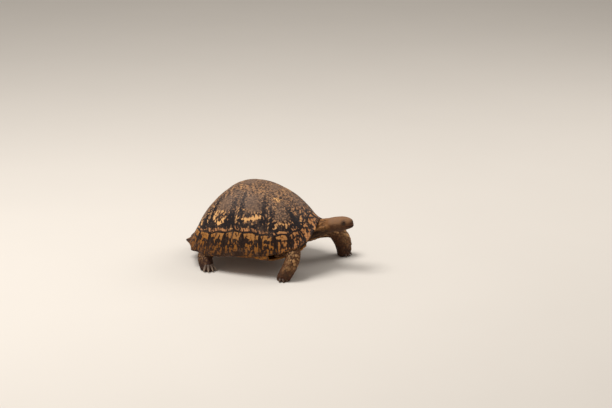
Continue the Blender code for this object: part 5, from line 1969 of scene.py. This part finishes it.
class TORTOISE_OT_beak(bpy.types.Operator):
    """Horn sheaths of the two jaws"""
    bl_idname = "tortoise.beak"
    bl_label = "Beak"

    def execute(self, context):
        hard = context.scene.tortoise_hard
        look = horn_material("beak_horn", hard.beak_edge_colour, hard.beak_colour,
                             0.62, 0.20)
        for name, upper in (("beak_upper", True), ("beak_lower", False)):
            settle(build_beak("horn_" + name, upper, hard), look, "beak_horn", name)
        return {"FINISHED"}


class TORTOISE_OT_eyes(bpy.types.Operator):
    """The two eyeballs"""
    bl_idname = "tortoise.eyes"
    bl_label = "Eyes"

    def execute(self, context):
        look = eye_material(context.scene.tortoise_hard)
        for side, word in SIDES:
            settle(build_eye("eyeball_" + word, side), look, "eye", "eye_" + word)
        return {"FINISHED"}


FLOOR_HALF = 14.0
CENTRE_HEIGHT = 0.11
AIM_RIGHT = 0.1377
AIM_UP = 0.049
LIGHT_SIZE = 1.6
LIGHTS = {
    # place from the shell's middle, share of the key light's power
    "key": ((-1.0, -0.7, 2.7), 1.0),
    "rim": ((1.6, 1.6, 1.8), 0.25),
}


def turned_along(way):
    """Turn of a lamp or camera that looks along a direction."""
    return way.to_track_quat("-Z", "Y").to_euler()


def add_floor(look):
    """Wide flat floor, which is staging and not a piece of the tortoise."""
    mesh = bpy.data.meshes.new("floor")
    w = FLOOR_HALF
    mesh.from_pydata([(-w, -w, 0), (w, -w, 0), (w, w, 0), (-w, w, 0)], [],
                     [(0, 1, 2, 3)])
    mesh.materials.append(floor_material(look))
    floor = bpy.data.objects.new("floor", mesh)
    bpy.context.scene.collection.objects.link(floor)


def add_lights(look, centre):
    """Even sky, a large soft key light and a weaker one from behind."""
    world = bpy.data.worlds.new("even_sky")
    world.use_nodes = True
    sky = world.node_tree.nodes["Background"].inputs
    sky[0].default_value = (1.0, 0.97, 0.93, 1)
    sky[1].default_value = look.sky
    bpy.context.scene.world = world
    for name, (place, share) in LIGHTS.items():
        light = bpy.data.lights.new(name, "AREA")
        light.shape = "DISK"
        light.size = LIGHT_SIZE
        light.energy = look.key_power * share
        lamp = bpy.data.objects.new(name, light)
        lamp.location = centre + Vector(place)
        lamp.rotation_euler = turned_along(-Vector(place))
        bpy.context.scene.collection.objects.link(lamp)


def add_camera(look, centre):
    """Camera at a heading and height round the shell, aimed past its middle."""
    a, e = look.azimuth, look.elevation
    back = Vector((math.sin(a) * math.cos(e), -math.cos(a) * math.cos(e), math.sin(e)))
    right = Vector((math.cos(a), math.sin(a), 0.0))
    lens = bpy.data.cameras.new("camera")
    lens.lens = 100.0
    lens.sensor_width = 36.0
    camera = bpy.data.objects.new("camera", lens)
    camera.location = centre + back * look.distance
    aim = centre + right * AIM_RIGHT + Vector((0, 0, AIM_UP))
    camera.rotation_euler = turned_along(aim - camera.location)
    bpy.context.scene.collection.objects.link(camera)
    bpy.context.scene.camera = camera


class TORTOISE_OT_stage(bpy.types.Operator):
    """Plain floor, soft light and the camera"""
    bl_idname = "tortoise.stage"
    bl_label = "Stage"

    def execute(self, context):
        look = context.scene.tortoise_stage
        centre = Vector((HOME[0], HOME[1], CENTRE_HEIGHT))
        add_floor(look)
        add_lights(look, centre)
        add_camera(look, centre)
        context.scene.view_settings.view_transform = "Standard"
        return {"FINISHED"}


class TORTOISE_PT_panel(bpy.types.Panel):
    """Lists the steps and their settings."""
    bl_label = "Leopard Tortoise"
    bl_idname = "TORTOISE_PT_panel"
    bl_space_type = "VIEW_3D"
    bl_region_type = "UI"
    bl_category = "Tortoise"

    def draw(self, context):
        for step in STEPS:
            self.layout.operator(step.bl_idname)
        for name in SETTINGS:
            group = getattr(context.scene, name)
            box = self.layout.box()
            for key in group.bl_rna.properties.keys():
                if key not in {"rna_type", "name"}:
                    box.prop(group, key)


STEPS = (TORTOISE_OT_carapace, TORTOISE_OT_belly, TORTOISE_OT_skin,
         TORTOISE_OT_leg_scales, TORTOISE_OT_claws, TORTOISE_OT_beak,
         TORTOISE_OT_eyes, TORTOISE_OT_stage)
SETTINGS = {"tortoise_shell": TortoiseShellSettings,
            "tortoise_skin": TortoiseSkinSettings,
            "tortoise_leg_scales": TortoiseLegScaleSettings,
            "tortoise_hard": TortoiseHardSettings,
            "tortoise_stage": TortoiseStageSettings}


def register():
    for kind in (*SETTINGS.values(), *STEPS, TORTOISE_PT_panel):
        bpy.utils.register_class(kind)
    for name, kind in SETTINGS.items():
        setattr(bpy.types.Scene, name, bpy.props.PointerProperty(type=kind))


def unregister():
    for name in SETTINGS:
        delattr(bpy.types.Scene, name)
    for kind in (TORTOISE_PT_panel, *STEPS[::-1], *SETTINGS.values()):
        bpy.utils.unregister_class(kind)


def main():
    """Runs every step in order."""
    register()
    bpy.ops.tortoise.carapace()
    bpy.ops.tortoise.belly()
    bpy.ops.tortoise.skin()
    bpy.ops.tortoise.leg_scales()
    bpy.ops.tortoise.claws()
    bpy.ops.tortoise.beak()
    bpy.ops.tortoise.eyes()
    bpy.ops.tortoise.stage()


if __name__ == "__main__":
    main()
